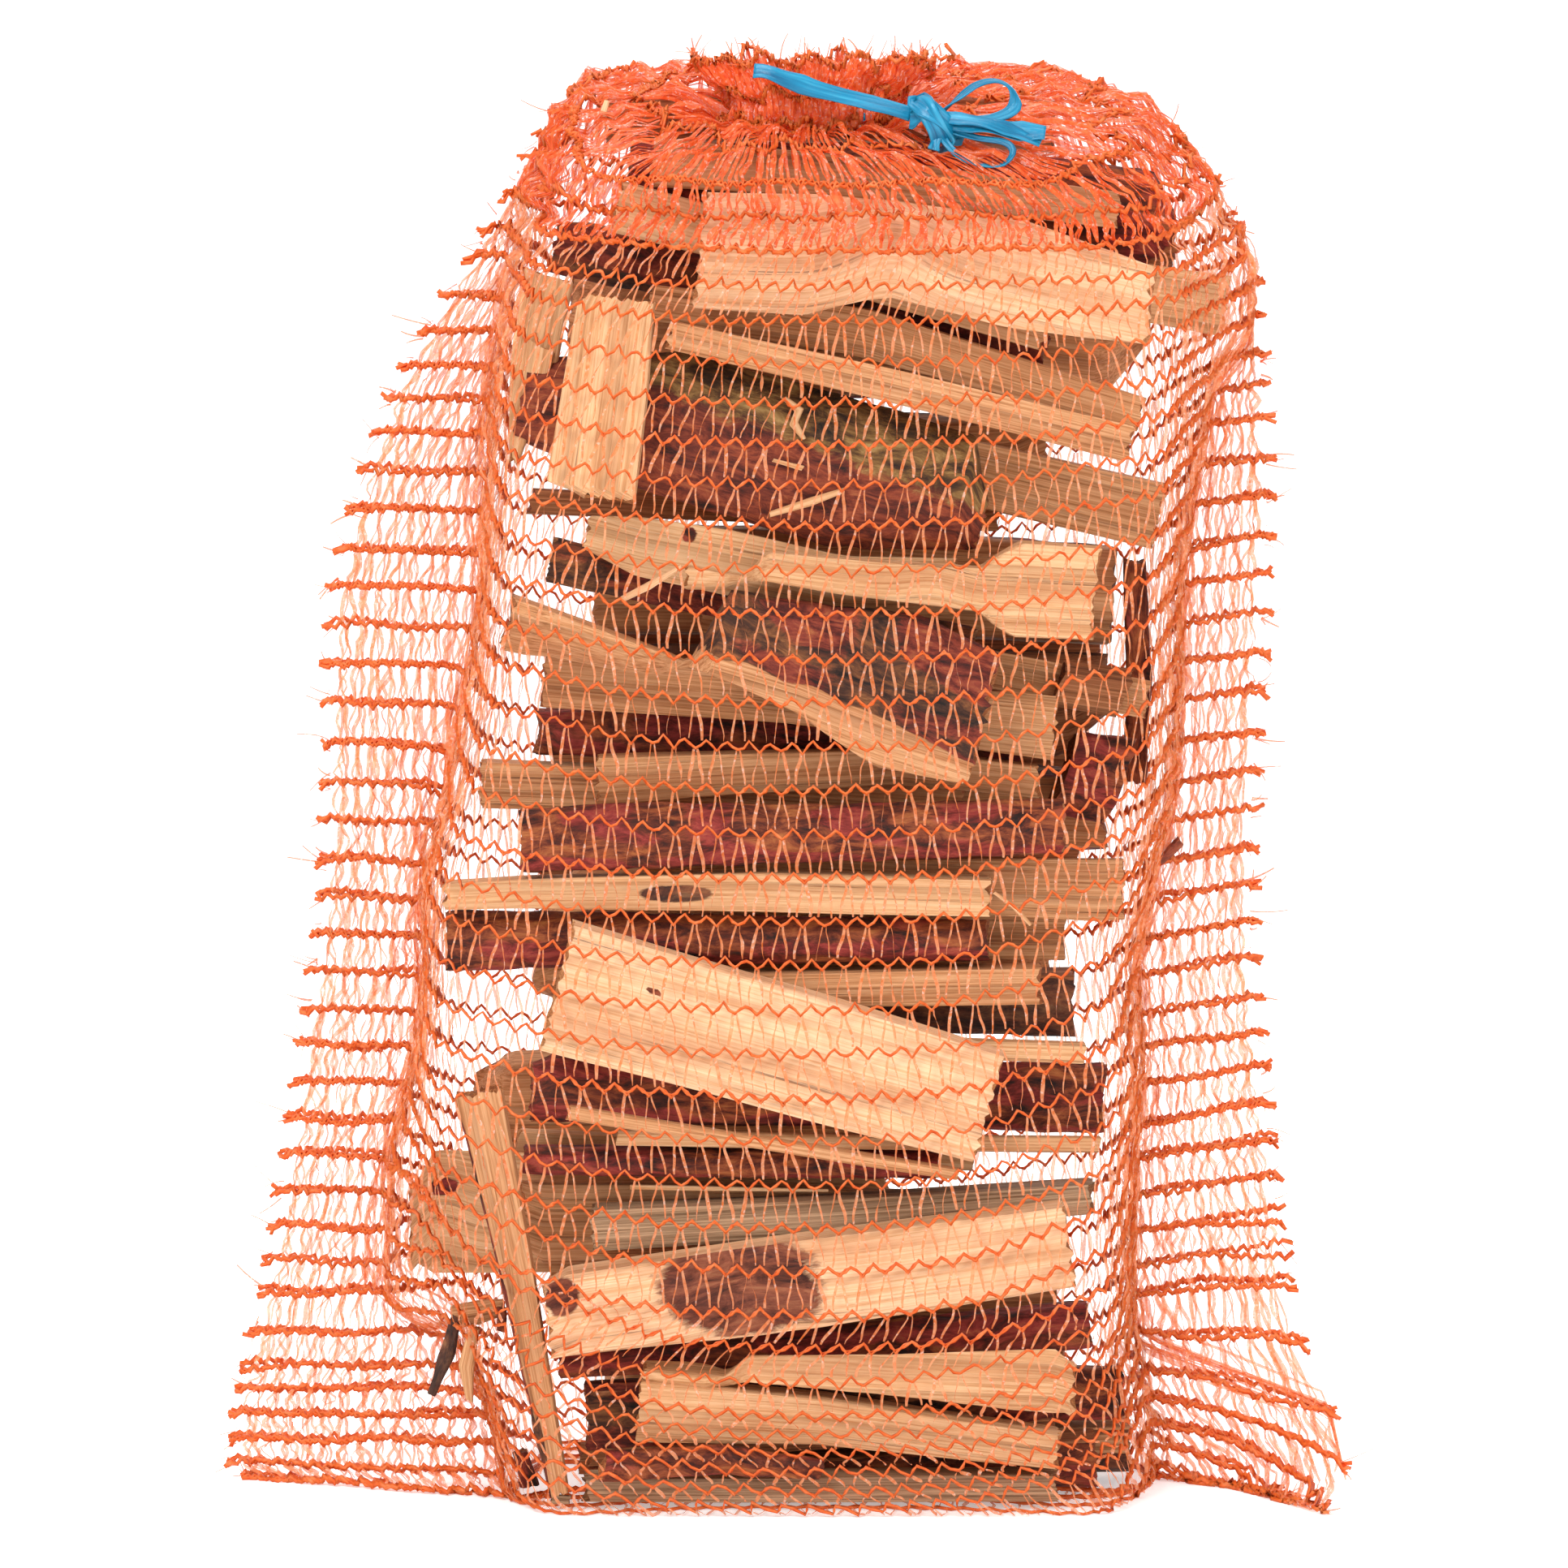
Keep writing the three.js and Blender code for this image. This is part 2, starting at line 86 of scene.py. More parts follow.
class FIREWOOD_PG_wood(bpy.types.PropertyGroup):
    """Detail of the split sticks."""
    ridge: length("Fibre ridge", "Height of the ridges that splitting leaves", 0.24)
    bark_bump: length("Bark bump", "Height of the humps in the bark", 0.75)


class FIREWOOD_PG_tape(bpy.types.PropertyGroup):
    """The drawstring."""
    width: length("Tape width", "Width of the flat drawstring", 8)
    colour: bpy.props.StringProperty(
        name="Tape colour", description="Colour of the drawstring, sRGB hex", default="0F86B0")


# ------------------------------------------------------------------ helpers
def srgb(code):
    """Linear colour from an sRGB hex code."""
    channels = [int(code[i:i + 2], 16) / 255 for i in (0, 2, 4)]
    return tuple(c / 12.92 if c <= 0.04045 else ((c + 0.055) / 1.055) ** 2.4 for c in channels) + (1,)


def add(tree, kind, settings=None, **inputs):
    """One shader node with its settings and its inputs: a value, or a socket to link from."""
    node = tree.nodes.new("ShaderNode" + kind)
    for key, value in (settings or {}).items():
        setattr(node, key, value)
    for key, value in inputs.items():
        socket = node.inputs[int(key[1:])] if key[0] == "_" else node.inputs[key.replace("_", " ")]
        if isinstance(value, bpy.types.NodeSocket):
            tree.links.new(value, socket)
        else:
            socket.default_value = value
    return node


def new_material(name):
    material = bpy.data.materials.new(name)
    material.use_nodes = True
    tree = material.node_tree
    tree.nodes.clear()
    return material, tree


def ramp(tree, factor, *stops):
    """Colour from a ramp over a factor: each stop is a place and a hex code."""
    node = add(tree, "ValToRGB", _0=factor)
    elements = node.color_ramp.elements
    while len(elements) < len(stops):
        elements.new(0.5)
    for element, (place, code) in zip(elements, stops):
        element.position = place
        element.color = srgb(code)
    return node.outputs["Color"]


def noise(tree, vector, scale, detail=2.0, **more):
    return add(tree, "TexNoise", Vector=vector, Scale=scale, Detail=detail, **more).outputs["Fac"]


def scaled(tree, vector, *factors):
    """A vector with each of its parts multiplied."""
    return add(tree, "VectorMath", {"operation": "MULTIPLY"}, _0=vector, _1=factors).outputs[0]


def mix(tree, share, first, second, blend="MIX"):
    """A colour between two."""
    return add(tree, "Mix", {"data_type": "RGBA", "blend_type": blend}, _0=share, _6=first,
               _7=second).outputs[2]


def times_plus(tree, first, factor, plus):
    return add(tree, "Math", {"operation": "MULTIPLY_ADD"}, _0=first, _1=factor, _2=plus).outputs[0]


def step_between(tree, value, low, high):
    """0 below low, 1 above high."""
    return add(tree, "MapRange", _0=value, _1=low, _2=high).outputs[0]


def thin_plastic(tree, colour, height, strength, depth, share, **skin):
    """Ends a material of thin plastic: a glossy skin with creases, and light shining through."""
    bump = add(tree, "Bump", Strength=strength, Distance=depth, Height=height)
    skin = add(tree, "BsdfPrincipled", Base_Color=colour, IOR=1.5, Normal=bump.outputs["Normal"],
               **skin)
    glow = add(tree, "BsdfTranslucent", Color=colour)
    both = add(tree, "MixShader", _0=share, _1=skin.outputs[0], _2=glow.outputs[0])
    add(tree, "OutputMaterial", Surface=both.outputs[0])


def grid_faces(rows, width, closed=True, first=0):
    """Quads between neighbouring rows of points, round each row or only along it."""
    k = first + np.arange(rows - 1)[:, None] * width
    i = np.arange(width if closed else width - 1)
    j = (i + 1) % width
    return np.stack(np.broadcast_arrays(k + i, k + j, k + width + j, k + width + i),
                    -1).reshape(-1, 4).tolist()


def mesh_object(name, points, faces, material, slot):
    """A piece from points in metres and faces, riding on the one body."""
    mesh = bpy.data.meshes.new(name)
    mesh.from_pydata(np.asarray(points).tolist(), [], faces)
    mesh.validate()
    mesh.shade_smooth()
    mesh.materials.append(material)
    piece = bpy.data.objects.new(name, mesh)
    bpy.context.scene.collection.objects.link(piece)
    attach(piece, "root")
    return piece


def unit(vectors):
    return vectors / np.maximum(np.linalg.norm(vectors, axis=-1, keepdims=True), 1e-9)


def running(points):
    """Length from the first point to each point of a line."""
    return np.concatenate([[0], np.cumsum(np.linalg.norm(np.diff(points, axis=0), axis=1))])


def sampled(at, run, columns):
    """The columns of a table read at other places of its running measure."""
    return np.stack([np.interp(at, run, column) for column in np.transpose(columns)], 1)


def name_points(piece, name, vectors):
    """Keeps a vector for every point of a piece, for its material to read."""
    attribute = piece.data.attributes.new(name, "FLOAT_VECTOR", "POINT")
    attribute.data.foreach_set("vector", np.asarray(vectors, np.float32).ravel())


def waves(seed, count, low, high):
    """Random sines: frequencies between low and high, and phases."""
    rng = np.random.default_rng(abs(seed) + 5000 * (seed < 0))
    return rng.uniform(low, high, count), rng.uniform(0, 2 * math.pi, count)


def roughness_field(u, v, seed, long_scale, cross_scale, count=7):
    """Smooth noise of about -1 to 1, stretched by its two scales in metres."""
    f, p = waves(seed, count, 0.6, 1.9)
    g, q = waves(seed + 91, count, 0.6, 1.9)
    total = np.zeros_like(u)
    for k in range(count):
        total += np.sin(u * 2 * math.pi * f[k] / long_scale + p[k]
                        + 1.3 * np.sin(v * 2 * math.pi * g[k] / cross_scale + q[k]))
        total += np.sin(v * 2 * math.pi * g[-k - 1] / cross_scale + q[-k - 1]
                        + 0.8 * np.sin(u * 2 * math.pi * f[-k - 1] / long_scale + p[-k - 1]))
    return total / (1.1 * count)


# ------------------------------------------------------------------ materials
def knitted_polyethylene(colour):
    """Chain stitches of extruded and stretched PE film: opaque orange, waxy, lit through a little."""
    material, tree = new_material("knitted_polyethylene")
    place = add(tree, "TexCoord").outputs["Object"]
    shade = ramp(tree, noise(tree, place, 260.0, 3.0), (0.3, "F0641C"), (0.52, colour),
                 (0.75, "FF9C5C"))
    thin_plastic(tree, shade, noise(tree, place, 1500.0), 0.5, 0.0003, 0.4, Roughness=0.42)
    return material


def slit_film_polyethylene(name, deep, light, cover):
    """Thin slit-film tapes between the rows: see-through orange, glossy, creased along."""
    material, tree = new_material(name)
    place = add(tree, "TexCoord").outputs["Object"]
    mottle = noise(tree, place, 420.0)
    # painted highlight: dashes about 1.5 mm long along the folds are painted nearly white, as glints of
    # light
    shine = ramp(tree, noise(tree, place, 650.0, 1.0), (0.6, "000000"), (0.68, "B4B4B4"))
    shade = mix(tree, shine, ramp(tree, mottle, (0.3, deep), (0.7, light)), srgb("FFF0E6"))
    thin_plastic(tree, shade, mottle, 0.6, 0.0004, 0.3, Roughness=0.24, Alpha=cover)
    return material


def folded_blue_tape(colour):
    """Flat polyethylene tape folded lengthwise: saturated blue, glossy, with long creases."""
    material, tree = new_material("folded_blue_tape")
    along = add(tree, "Attribute", {"attribute_name": "along"}).outputs["Vector"]
    fold = noise(tree, along, 1.0, 4.0)
    # painted shade and highlight: darker blue in the folds' hollows and lighter on their ridges, on the
    # same fold noise as the bump
    shade = ramp(tree, fold, (0.28, "0A5C84"), (0.5, colour), (0.72, "3AA8CC"))
    speck = noise(tree, add(tree, "TexCoord").outputs["Object"], 900.0)
    thin_plastic(tree, shade, times_plus(tree, speck, 0.2, fold), 0.8, 0.0008, 0.15, Roughness=0.3)
    return material


# Split faces, by how pale the wood is: light fibre, middle, deep fibre, latewood line.
WOOD_TONES = {
    "cream": ("F6D0A6", "EEC093", "DAA470", "AE7A48"),
    "pale": ("EBC293", "DEAD7B", "C58C58", "885A30"),
    "tan": ("DCA97A", "C88F5E", "A56D40", "5E381D"),
    "brown": ("BE8358", "A0673E", "7E4E2B", "452818"),
    "grey": ("C6A380", "A48463", "7C5C3E", "3E2D1E"),
}
# Bark, two kinds of patch to a stick, each from its darkest cracks to its lightest flakes; the
# near-black crack tones are partly the bark's own colour and partly painted shade.
BARK_TONES = {
    "red": (("1C0B07", "5C2412", "8E4826", "BC7840"), ("260A08", "6A1E16", "93342E", "B0603E")),
    "brown": (("1E120D", "4E2A1B", "75442A", "9C6840"), ("1A0E0A", "3E241A", "623E28", "8E6644")),
    "dark": (("140C08", "44281A", "704426", "A87444"), ("220A08", "5C1E14", "8A3A28", "B06C40")),
    "russet": (("34170E", "6C3622", "905036", "AE7852"), ("2A120B", "5C2C1E", "80442E", "A26A48")),
    "mottled": (("210D08", "602416", "8C3F26", "AC683E"), ("0E0B08", "4C3218", "7E5C30", "AE9058")),
}


def split_softwood(wood, bark):
    """Split spruce and pine: long fibres, dark latewood lines, and flaky bark where it is left on."""
    material, tree = new_material(f"split_{wood}_softwood_{bark}_bark")
    grain = add(tree, "Attribute", {"attribute_name": "grain"}).outputs["Vector"]
    kind = add(tree, "SeparateXYZ",
               Vector=add(tree, "Attribute", {"attribute_name": "kind"}).outputs["Vector"]).outputs
    light, middle, deep, line = WOOD_TONES[wood]
    # fibres about 0.9 mm across and 60 mm long
    stretched = scaled(tree, grain, 17.0, 1100.0, 1100.0)
    fibre = noise(tree, stretched, 1.0, 5.0, Roughness=0.62)
    # broad bands of heart and sap about 12 mm across
    band = noise(tree, scaled(tree, grain, 5.0, 85.0, 85.0), 1.0)
    # latewood lines 2.4 mm apart across the rings
    rings = add(tree, "TexWave", {"bands_direction": "Y", "wave_profile": "SAW"},
                Vector=scaled(tree, grain, 0.4, 21.0, 6.0), Scale=1.0, Distortion=2.2, Detail=3.0,
                Detail_Scale=2.0)
    late = ramp(tree, rings.outputs["Fac"], (0.72, "000000"), (0.98, "A0A0A0"))
    shade = ramp(tree, fibre, (0.33, deep), (0.47, middle), (0.6, light))
    tinted = mix(tree, 0.6, shade, ramp(tree, band, (0.32, "C4A084"), (0.55, "FFFFFF")), "MULTIPLY")
    lined = mix(tree, late, tinted, srgb(line))
    # dust, dirt and torn specks, finest 1 mm
    dirt = noise(tree, stretched, 0.22, 8.0, Roughness=0.8)
    soiled = mix(tree, 1.0, lined, ramp(tree, dirt, (0.31, "4E3626"), (0.43, "FFFFFF")), "MULTIPLY")
    # sawn ends: darker, the fibres seen end on
    pores = noise(tree, grain, 1400.0, 3.0)
    sawn = mix(tree, kind["Y"], soiled, ramp(tree, pores, (0.3, "A07C58"), (0.7, "E8CDAA")),
               "MULTIPLY")
    # bark: flakes about 7 mm, longer along the stick, with dark cracks, partly painted shade where the
    # bump sinks them too
    flake = noise(tree, scaled(tree, grain, 55.0, 150.0, 150.0), 1.0, 9.0, Roughness=0.72,
                  Distortion=0.6)
    first, second = [ramp(tree, flake, *zip((0.36, 0.46, 0.55, 0.7), tones))
                     for tones in BARK_TONES[bark]]
    place = add(tree, "Math", {"operation": "ADD"}, _0=kind["Z"],
                _1=times_plus(tree, flake, 1.4, -0.7)).outputs[0]
    rind = mix(tree, step_between(tree, place, 0.4, 0.6), first, second)
    # where the bark starts and stops, torn along the fibres
    edge = add(tree, "Math", {"operation": "ADD"}, _0=kind["X"],
               _1=times_plus(tree, flake, 0.9, -0.45)).outputs[0]
    mask = step_between(tree, edge, 0.42, 0.56)
    colour = mix(tree, mask, sawn, rind)
    bump = add(tree, "Bump", Strength=0.75, Distance=0.0009,
               Height=times_plus(tree, mask, flake, fibre))
    skin = add(tree, "BsdfPrincipled", Base_Color=colour, Roughness=0.78, IOR=1.45,
               Normal=bump.outputs["Normal"])
    add(tree, "OutputMaterial", Surface=skin.outputs[0])
    return material


def matte_paper():
    """Matt pale studio paper with a very faint tooth."""
    material, tree = new_material("matte_paper")
    tooth = noise(tree, add(tree, "TexCoord").outputs["Object"], 90.0)
    shade = ramp(tree, tooth, (0.0, "F6F6F6"), (1.0, "FCFCFC"))
    skin = add(tree, "BsdfPrincipled", Base_Color=shade, Roughness=0.9,
               Emission_Color=(1, 1, 1, 1), Emission_Strength=0.34)
    add(tree, "OutputMaterial", Surface=skin.outputs[0])
    return material


# ------------------------------------------------------------------ sack surface
# The outline of the filled sack, in mm: height, then x of the left wing tip, left root, left
# corner, right corner, right root and right wing tip.
LEVELS = [
    (0, -222, -110, -102, 136, 150, 222), (6, -229, -114, -107, 139, 151, 232),
    (30, -227, -120, -113, 138, 150, 226), (60, -220, -132, -122, 132, 144, 214),
    (80, -215, -162, -130, 134, 142, 209), (138, -205, -161, -142, 134, 143, 201),
    (176, -199, -150, -144, 138, 146, 197), (215, -193, -146, -143, 132, 143, 193),
    (252, -189, -146, -142, 142, 150, 192), (290, -187, -136, -128, 147, 158, 193),
    (330, -187, -128, -119, 149, 160, 195), (370, -184, -122, -117, 150, 160, 197),
    (410, -174, -120, -115, 154, 165, 198), (450, -159, -118, -112, 158, 172, 196),
    (478, -144, -114, -106, 162, 188, 193), (502, -128, -108, -100, 161, 188, 191),
]
# Over the shoulder: heights at the front and the back, then the same six.
SHOULDER = [
    (522, 545, -110, -102, -94, 152, 172, 176),
    (535, 584, -94, -90, -85, 126, 146, 150),
]
NECK_X, NECK_Y = 12.0, -14.0
# The gathered mouth: heights at the front and the back, two radii and the middle's y.
MOUTH = [(541, 587, 64, 54, 0), (546, 569, 30, 22, NECK_Y), (562, 580, 34, 25, NECK_Y),
         (580, 594, 51, 30, NECK_Y)]
HALF_DEPTH = 72.0
WING, SIDE, FACE = 6.8, 8.0, 9.4  # stitch pitch, mm, by place
PARTS = 4  # points along one stitch
MIDDLE_X = 11.0
FOOT_TIP, FOOT_ROOT = -226.0, -112.0  # x of the left wing's foot, which bows forward
# A running measure up the net: the height in the body, then the way over the shoulder.
RING_RISE = [level[0] for level in LEVELS] + [522, 537, 556, 578, 594, 612]
LOOSE, GATHERED = 486, 560  # rises where the net comes off the wood and where it is bunched
DRAWN = 578.0  # the rise where the hem is drawn together
ROW_TOP = 478  # the rise of the last row on the front


def half_outline(face, z, tips):
    """Front (face -1) or back (+1) half of the sack's outline, from left tip to right tip."""
    tip_l, root_l, corner_l, corner_r, root_r, tip_r = tips

    def quarter(side, tip, root, corner):
        bend = -70 * math.exp(-z / 18) if side > 0 else 0
        tip_x = tip - 0.06 * abs(bend)
        return [(tip_x, face * 1.5 + bend), ((tip + root) / 2, face * 1.5 + bend * 0.3),
                (root + side * 2, face * 1.5), (root - side, face * 24), (corner, face * 54),
                (corner - side * 5, face * 65), (corner - side * 17, face * 71),
                (corner - side * 50, face * HALF_DEPTH), (corner - side * 85, face * HALF_DEPTH)]

    return np.array(quarter(-1, tip_l, root_l, corner_l)
                    + quarter(1, tip_r, root_r, corner_r)[::-1], float)


def level_of(rise):
    """Which ring of the sack a rise lies on, with its fraction."""
    return np.interp(rise, RING_RISE, np.arange(len(RING_RISE)))


def rise_over(front, back, y):
    return front + (back - front) * np.clip((y + HALF_DEPTH) / (2 * HALF_DEPTH), 0, 1) ** 0.8


class Sack:
    """Places on the net: face, a running number across in quarter stitches, and the rise."""

    def __init__(self, wales):
        self.count = wales * PARTS + 1
        self.wales = wales
        self.rings = {face: self.resampled(face) for face in (-1, 1)}

    def resampled(self, face):
        pitch = np.array([WING] * 2 + [SIDE] * 4 + [FACE] * 5 + [SIDE] * 4 + [WING] * 2)
        rings = []
        for z, *tips in LEVELS:
            flat = half_outline(face, z, tips)
            rings.append(self.spread(flat, np.full(len(flat), float(z)), pitch))
        for front, back, *tips in SHOULDER:
            flat = half_outline(face, back, tips)
            rings.append(self.spread(flat, rise_over(front, back, flat[:, 1]), pitch))
        turn = np.linspace(math.pi, 0, self.count)
        for front, back, rx, ry, y0 in MOUTH:
            x = NECK_X + rx * np.cos(turn)
            y = y0 + face * ry * np.sin(turn)
            rings.append(np.stack([x, y, rise_over(front, back, y)], 1))
        return np.array(rings)

    def spread(self, flat, heights, pitch):
        step = np.linalg.norm(np.diff(flat, axis=0), axis=1) / pitch
        run = np.concatenate([[0], np.cumsum(step)])
        even = np.linspace(0, run[-1], self.count)
        return sampled(even, run, np.column_stack([flat, heights]))

    def point(self, face, across, rise):
        """Points in mm, for arrays of places."""
        rings = self.rings[face]
        across = np.clip(across, 0, self.count - 1.001)
        level = np.clip(level_of(np.maximum(rise, 0)), 0, len(rings) - 1.001)
        i, r = across.astype(int), level.astype(int)
        s, t = (across - i)[..., None], (level - r)[..., None]
        low = rings[r, i] * (1 - s) + rings[r, i + 1] * s
        high = rings[r + 1, i] * (1 - s) + rings[r + 1, i + 1] * s
        return self.hem(rise, low * (1 - t) + high * t)

    def hem(self, rise, out):
        """Below the body the net goes under the wood, and the left wing's foot bows forward."""
        under = np.clip(-rise / HALF_DEPTH, 0, 0.96)
        x, y, z = out[..., 0], out[..., 1], out[..., 2]
        near = np.clip((x - FOOT_TIP) / (FOOT_ROOT - FOOT_TIP), 0, 1)
        near = near * np.exp(-np.maximum(z, 0) / 16.0) * (x < 20)
        y = (y - 42 * near * np.clip(1 - np.abs(y) / 54, 0, 1)) * (1 - under)
        x = x + (NECK_X - x) * 0.12 * under
        z = np.where(rise < 0, 0.7, np.maximum(z, 0.7))
        return np.stack([x, y, z], -1)

    def roots(self, face):
        """Where the wings leave the wood on every ring, as numbers across: left and right."""
        away = np.abs(self.rings[face][:, :, 1]) > 5
        return np.argmax(away, 1), self.count - 1 - np.argmax(away[:, ::-1], 1)

    def outward(self, face, across, rise):
        """Unit normals away from the wood."""
        right = self.point(face, across + 0.9, rise) - self.point(face, across - 0.9, rise)
        up = self.point(face, across, rise + 1.6) - self.point(face, across, rise - 1.6)
        normal = -face * np.cross(right, up)
        size = np.linalg.norm(normal, axis=-1, keepdims=True)
        return np.where(size > 1e-6, normal / np.maximum(size, 1e-6), (0, face, 0))


# ------------------------------------------------------------------ the net's rows and tapes
LAST_BODY_ROW, GATHER_ROW, DRAWN_ROW, LAST_ROW = 35, 38, 41, 44
WING_ROWS = ([0, 1, 5, 9, 15, 20, 25, 30, 35], [1, 7, 48, 103, 194, 272, 353, 432, 502])
FRONT_ROWS = ([0, 4, 9, 12, 16, 20, 25, 30, 35], [-68, 3, 41, 82, 152, 223, 310, 398, ROW_TOP])
BACK_ROWS = ([0, 4, 9, 35], [-68, 3, 62, 484])
TOP_ROWS = ([35, 36, 37, 38, 39, 40, 41, 42, 43, 44], [0, 15, 29, 43, 57, 74, 97, 106, 117, 129])


def row_rise(face, row, sack):
    """How far up the net one row lies, at each point across."""
    rows, heights = FRONT_ROWS if face < 0 else BACK_ROWS
    body = min(row, LAST_BODY_ROW)
    middle = np.interp(body, rows, heights)
    wing = np.interp(body, *WING_ROWS)
    level = int(round(level_of(max(middle, 0))))
    ring = sack.rings[face][level]
    x = ring[:, 0]
    tips = LEVELS[min(level, len(LEVELS) - 1)]
    corner = np.where(x < MIDDLE_X, tips[3] + 20, tips[4] - 20)
    over_face = np.clip((x - MIDDLE_X) / (corner - MIDDLE_X), 0, 1)
    on_side = np.clip(1 - (np.abs(ring[:, 1]) - 2) / (HALF_DEPTH - 2), 0, 1)
    out = np.clip((np.abs(x - MIDDLE_X) - 135) / 80, 0, 1)
    lift = 0.28 * over_face ** 2.4 + 0.72 * on_side ** 0.9
    tilt = 12 * out * np.where(x > MIDDLE_X, 1, 0.25) * (row > 6)
    rise = middle + (wing - middle) * lift + tilt
    if row > LAST_BODY_ROW:
        above = np.interp(row, *TOP_ROWS)
        blend = np.clip((row - LAST_BODY_ROW) / (DRAWN_ROW - LAST_BODY_ROW), 0, 1) ** 0.7
        rise = (rise + above * 0.92) * (1 - blend) + (ROW_TOP + above) * blend
    return rise


def stretch(face, across, rise, sack):
    """1 where the net is pulled flat over the wood, 0 on the empty sides, -1 at the mouth."""
    p = sack.point(face, across, rise)
    on_wood = np.clip((np.abs(p[..., 1]) - 26) / 40, 0, 1)
    top = np.clip((rise - 490) / 50, 0, 1)
    return on_wood * (1 - top) - top


class Rows:
    """Rises of all rows, with each row's zigzag and slack, for one face."""

    def __init__(self, face, sack, zigzag):
        rng = np.random.default_rng(40 + face)
        i = np.arange(sack.count, dtype=float)
        self.plain, self.line = [], []
        phase = (i / PARTS) % 1
        peak = 1 - np.abs(2 * phase - 1)
        for row in range(LAST_ROW + 1):
            rise = row_rise(face, row, sack)
            pull = stretch(face, i, rise, sack)
            slack = 0.7 + 1.2 * np.clip(1 - pull, 0, 1) + 4.5 * np.clip(-pull, 0, 1)
            wave = roughness_field(i / 200.0, np.full_like(i, row * 0.1), row * 7 + face, 0.22, 1.0)
            rise = rise + slack * wave
            sharp = zigzag * (0.45 + 0.9 * np.clip(pull, 0, 1)) * rng.uniform(0.75, 1.25, len(i))
            self.plain.append(rise)
            self.line.append(rise + sharp * (2 * peak - 1))
        self.plain, self.line = np.array(self.plain), np.array(self.line)


def crumple(points, normals, rise, seed, amount):
    """Pushes points in and out where the net is loose or gathered."""
    x, z = points[..., 0], points[..., 2]
    field = roughness_field(x * MM, z * MM, seed, 0.021, 0.017)
    loose = np.clip((rise - LOOSE) / 38, 0, 1)
    gathered = np.clip((rise - GATHERED) / 30, 0, 1)
    shift = field * (amount + 3.4 * loose - 0.8 * gathered)
    moved = points + normals * shift[..., None]
    frill = np.clip((rise - DRAWN) / 30, 0, 1)
    turn = np.arctan2(points[..., 1] - NECK_Y, points[..., 0] - NECK_X)
    ruffle = frill * (7.5 * np.sin(11 * turn + 0.8) + 4 * np.sin(23 * turn + seed))
    moved = moved + normals * (ruffle * 0.55)[..., None]
    moved[..., 2] += ruffle * 0.35
    return moved


def sweep(lines, ups, radii, sides):
    """Closed thin tubes along many lines at once: arrays (line, point, 3) in mm."""
    count, length = lines.shape[:2]
    tangent = unit(np.gradient(lines, axis=1))
    across = unit(np.cross(tangent, ups))
    up = np.cross(across, tangent)
    angle = np.arange(sides) * 2 * math.pi / sides
    ring = (across[:, :, None] * np.cos(angle)[:, None] + up[:, :, None] * np.sin(angle)[:, None])
    points = lines[:, :, None] + ring * radii[:, :, None, None]
    first = (np.arange(count) * length * sides)[:, None, None]
    k = (np.arange(length - 1) * sides)[:, None]
    a = np.arange(sides)
    b = (a + 1) % sides
    quads = np.stack(np.broadcast_arrays(first + k + a, first + k + sides + a,
                                         first + k + sides + b, first + k + b), -1)
    faces = quads.reshape(-1, 4).tolist()
    for start in first.ravel():
        faces.append([int(start + q) for q in range(sides)])
        faces.append([int(start + (length - 1) * sides + q) for q in reversed(range(sides))])
    return points.reshape(-1, 3) * MM, faces


def ribbons(lines, sides, widths, fold):
    """Thin tapes with a lengthwise crease: arrays (tape, point, 3) in mm, side directions, widths."""
    count, length = lines.shape[:2]
    crease = unit(np.cross(np.gradient(lines, axis=1), sides))
    half = (widths / 2)[..., None]
    middle = lines + crease * fold[..., None]
    points = np.stack([lines - sides * half, middle, lines + sides * half], 2)
    first = (np.arange(count) * length * 3)[:, None, None]
    return points.reshape(-1, 3) * MM, grid_faces(length, 3, False, first)


def knitted_rows(face, sack, rows, thickness):
    """Two strands to a row, twisted round each other stitch by stitch."""
    rng = np.random.default_rng(7 + face)
    i = np.arange(-1, sack.count + 1, dtype=float)
    lines, ups, radii = [], [], []
    for row in range(LAST_ROW + 1):
        rise = np.interp(i, np.arange(sack.count), rows.line[row])
        base = sack.point(face, i, rise)
        normal = sack.outward(face, i, rows.plain[row][np.clip(i, 0, sack.count - 1).astype(int)])
        pull = stretch(face, i, rise, sack)
        loose = np.clip(1 - pull, 0, 1)
        for strand in (0, 1):
            twist = 2 * math.pi * (i / PARTS) * 1.5 + strand * math.pi
            swing = np.sin(twist + rng.uniform(0, 6))
            lift = np.cos(twist)
            place = crumple(base, normal, rise, 3 + face, 0.35 + 0.9 * loose)
            place = place + normal * (0.75 + 0.34 * lift + rng.normal(0, 0.08, len(i)))[:, None]
            place[:, 2] += 0.5 * swing * (1 + 1.3 * np.clip(1 - pull, 0, 1.4))
            for end, step in ((0, -1), (-1, 1)):
                place[end] += (step * rng.uniform(1.5, 4.5), rng.uniform(-1, 1), rng.uniform(-2.5, 1.5))
            place[:, 2] = np.maximum(place[:, 2], 0.55)
            lines.append(place)
            ups.append(normal)
            thick = thickness / MM * (0.48 + 0.29 * loose - 0.2 * np.clip(-pull, 0, 1))
            radii.append(thick * rng.uniform(0.82, 1.2, len(i)))
    return sweep(np.array(lines), np.array(ups), np.array(radii), 3)


def cross_ways(lines, normals, turn):
    """Unit vectors across each line, turned about the line by an angle from the net's surface."""
    tangent = unit(np.gradient(lines, axis=1))
    flat = unit(np.cross(tangent, normals))
    return flat * np.cos(turn)[..., None] + np.cross(tangent, flat) * np.sin(turn)[..., None]


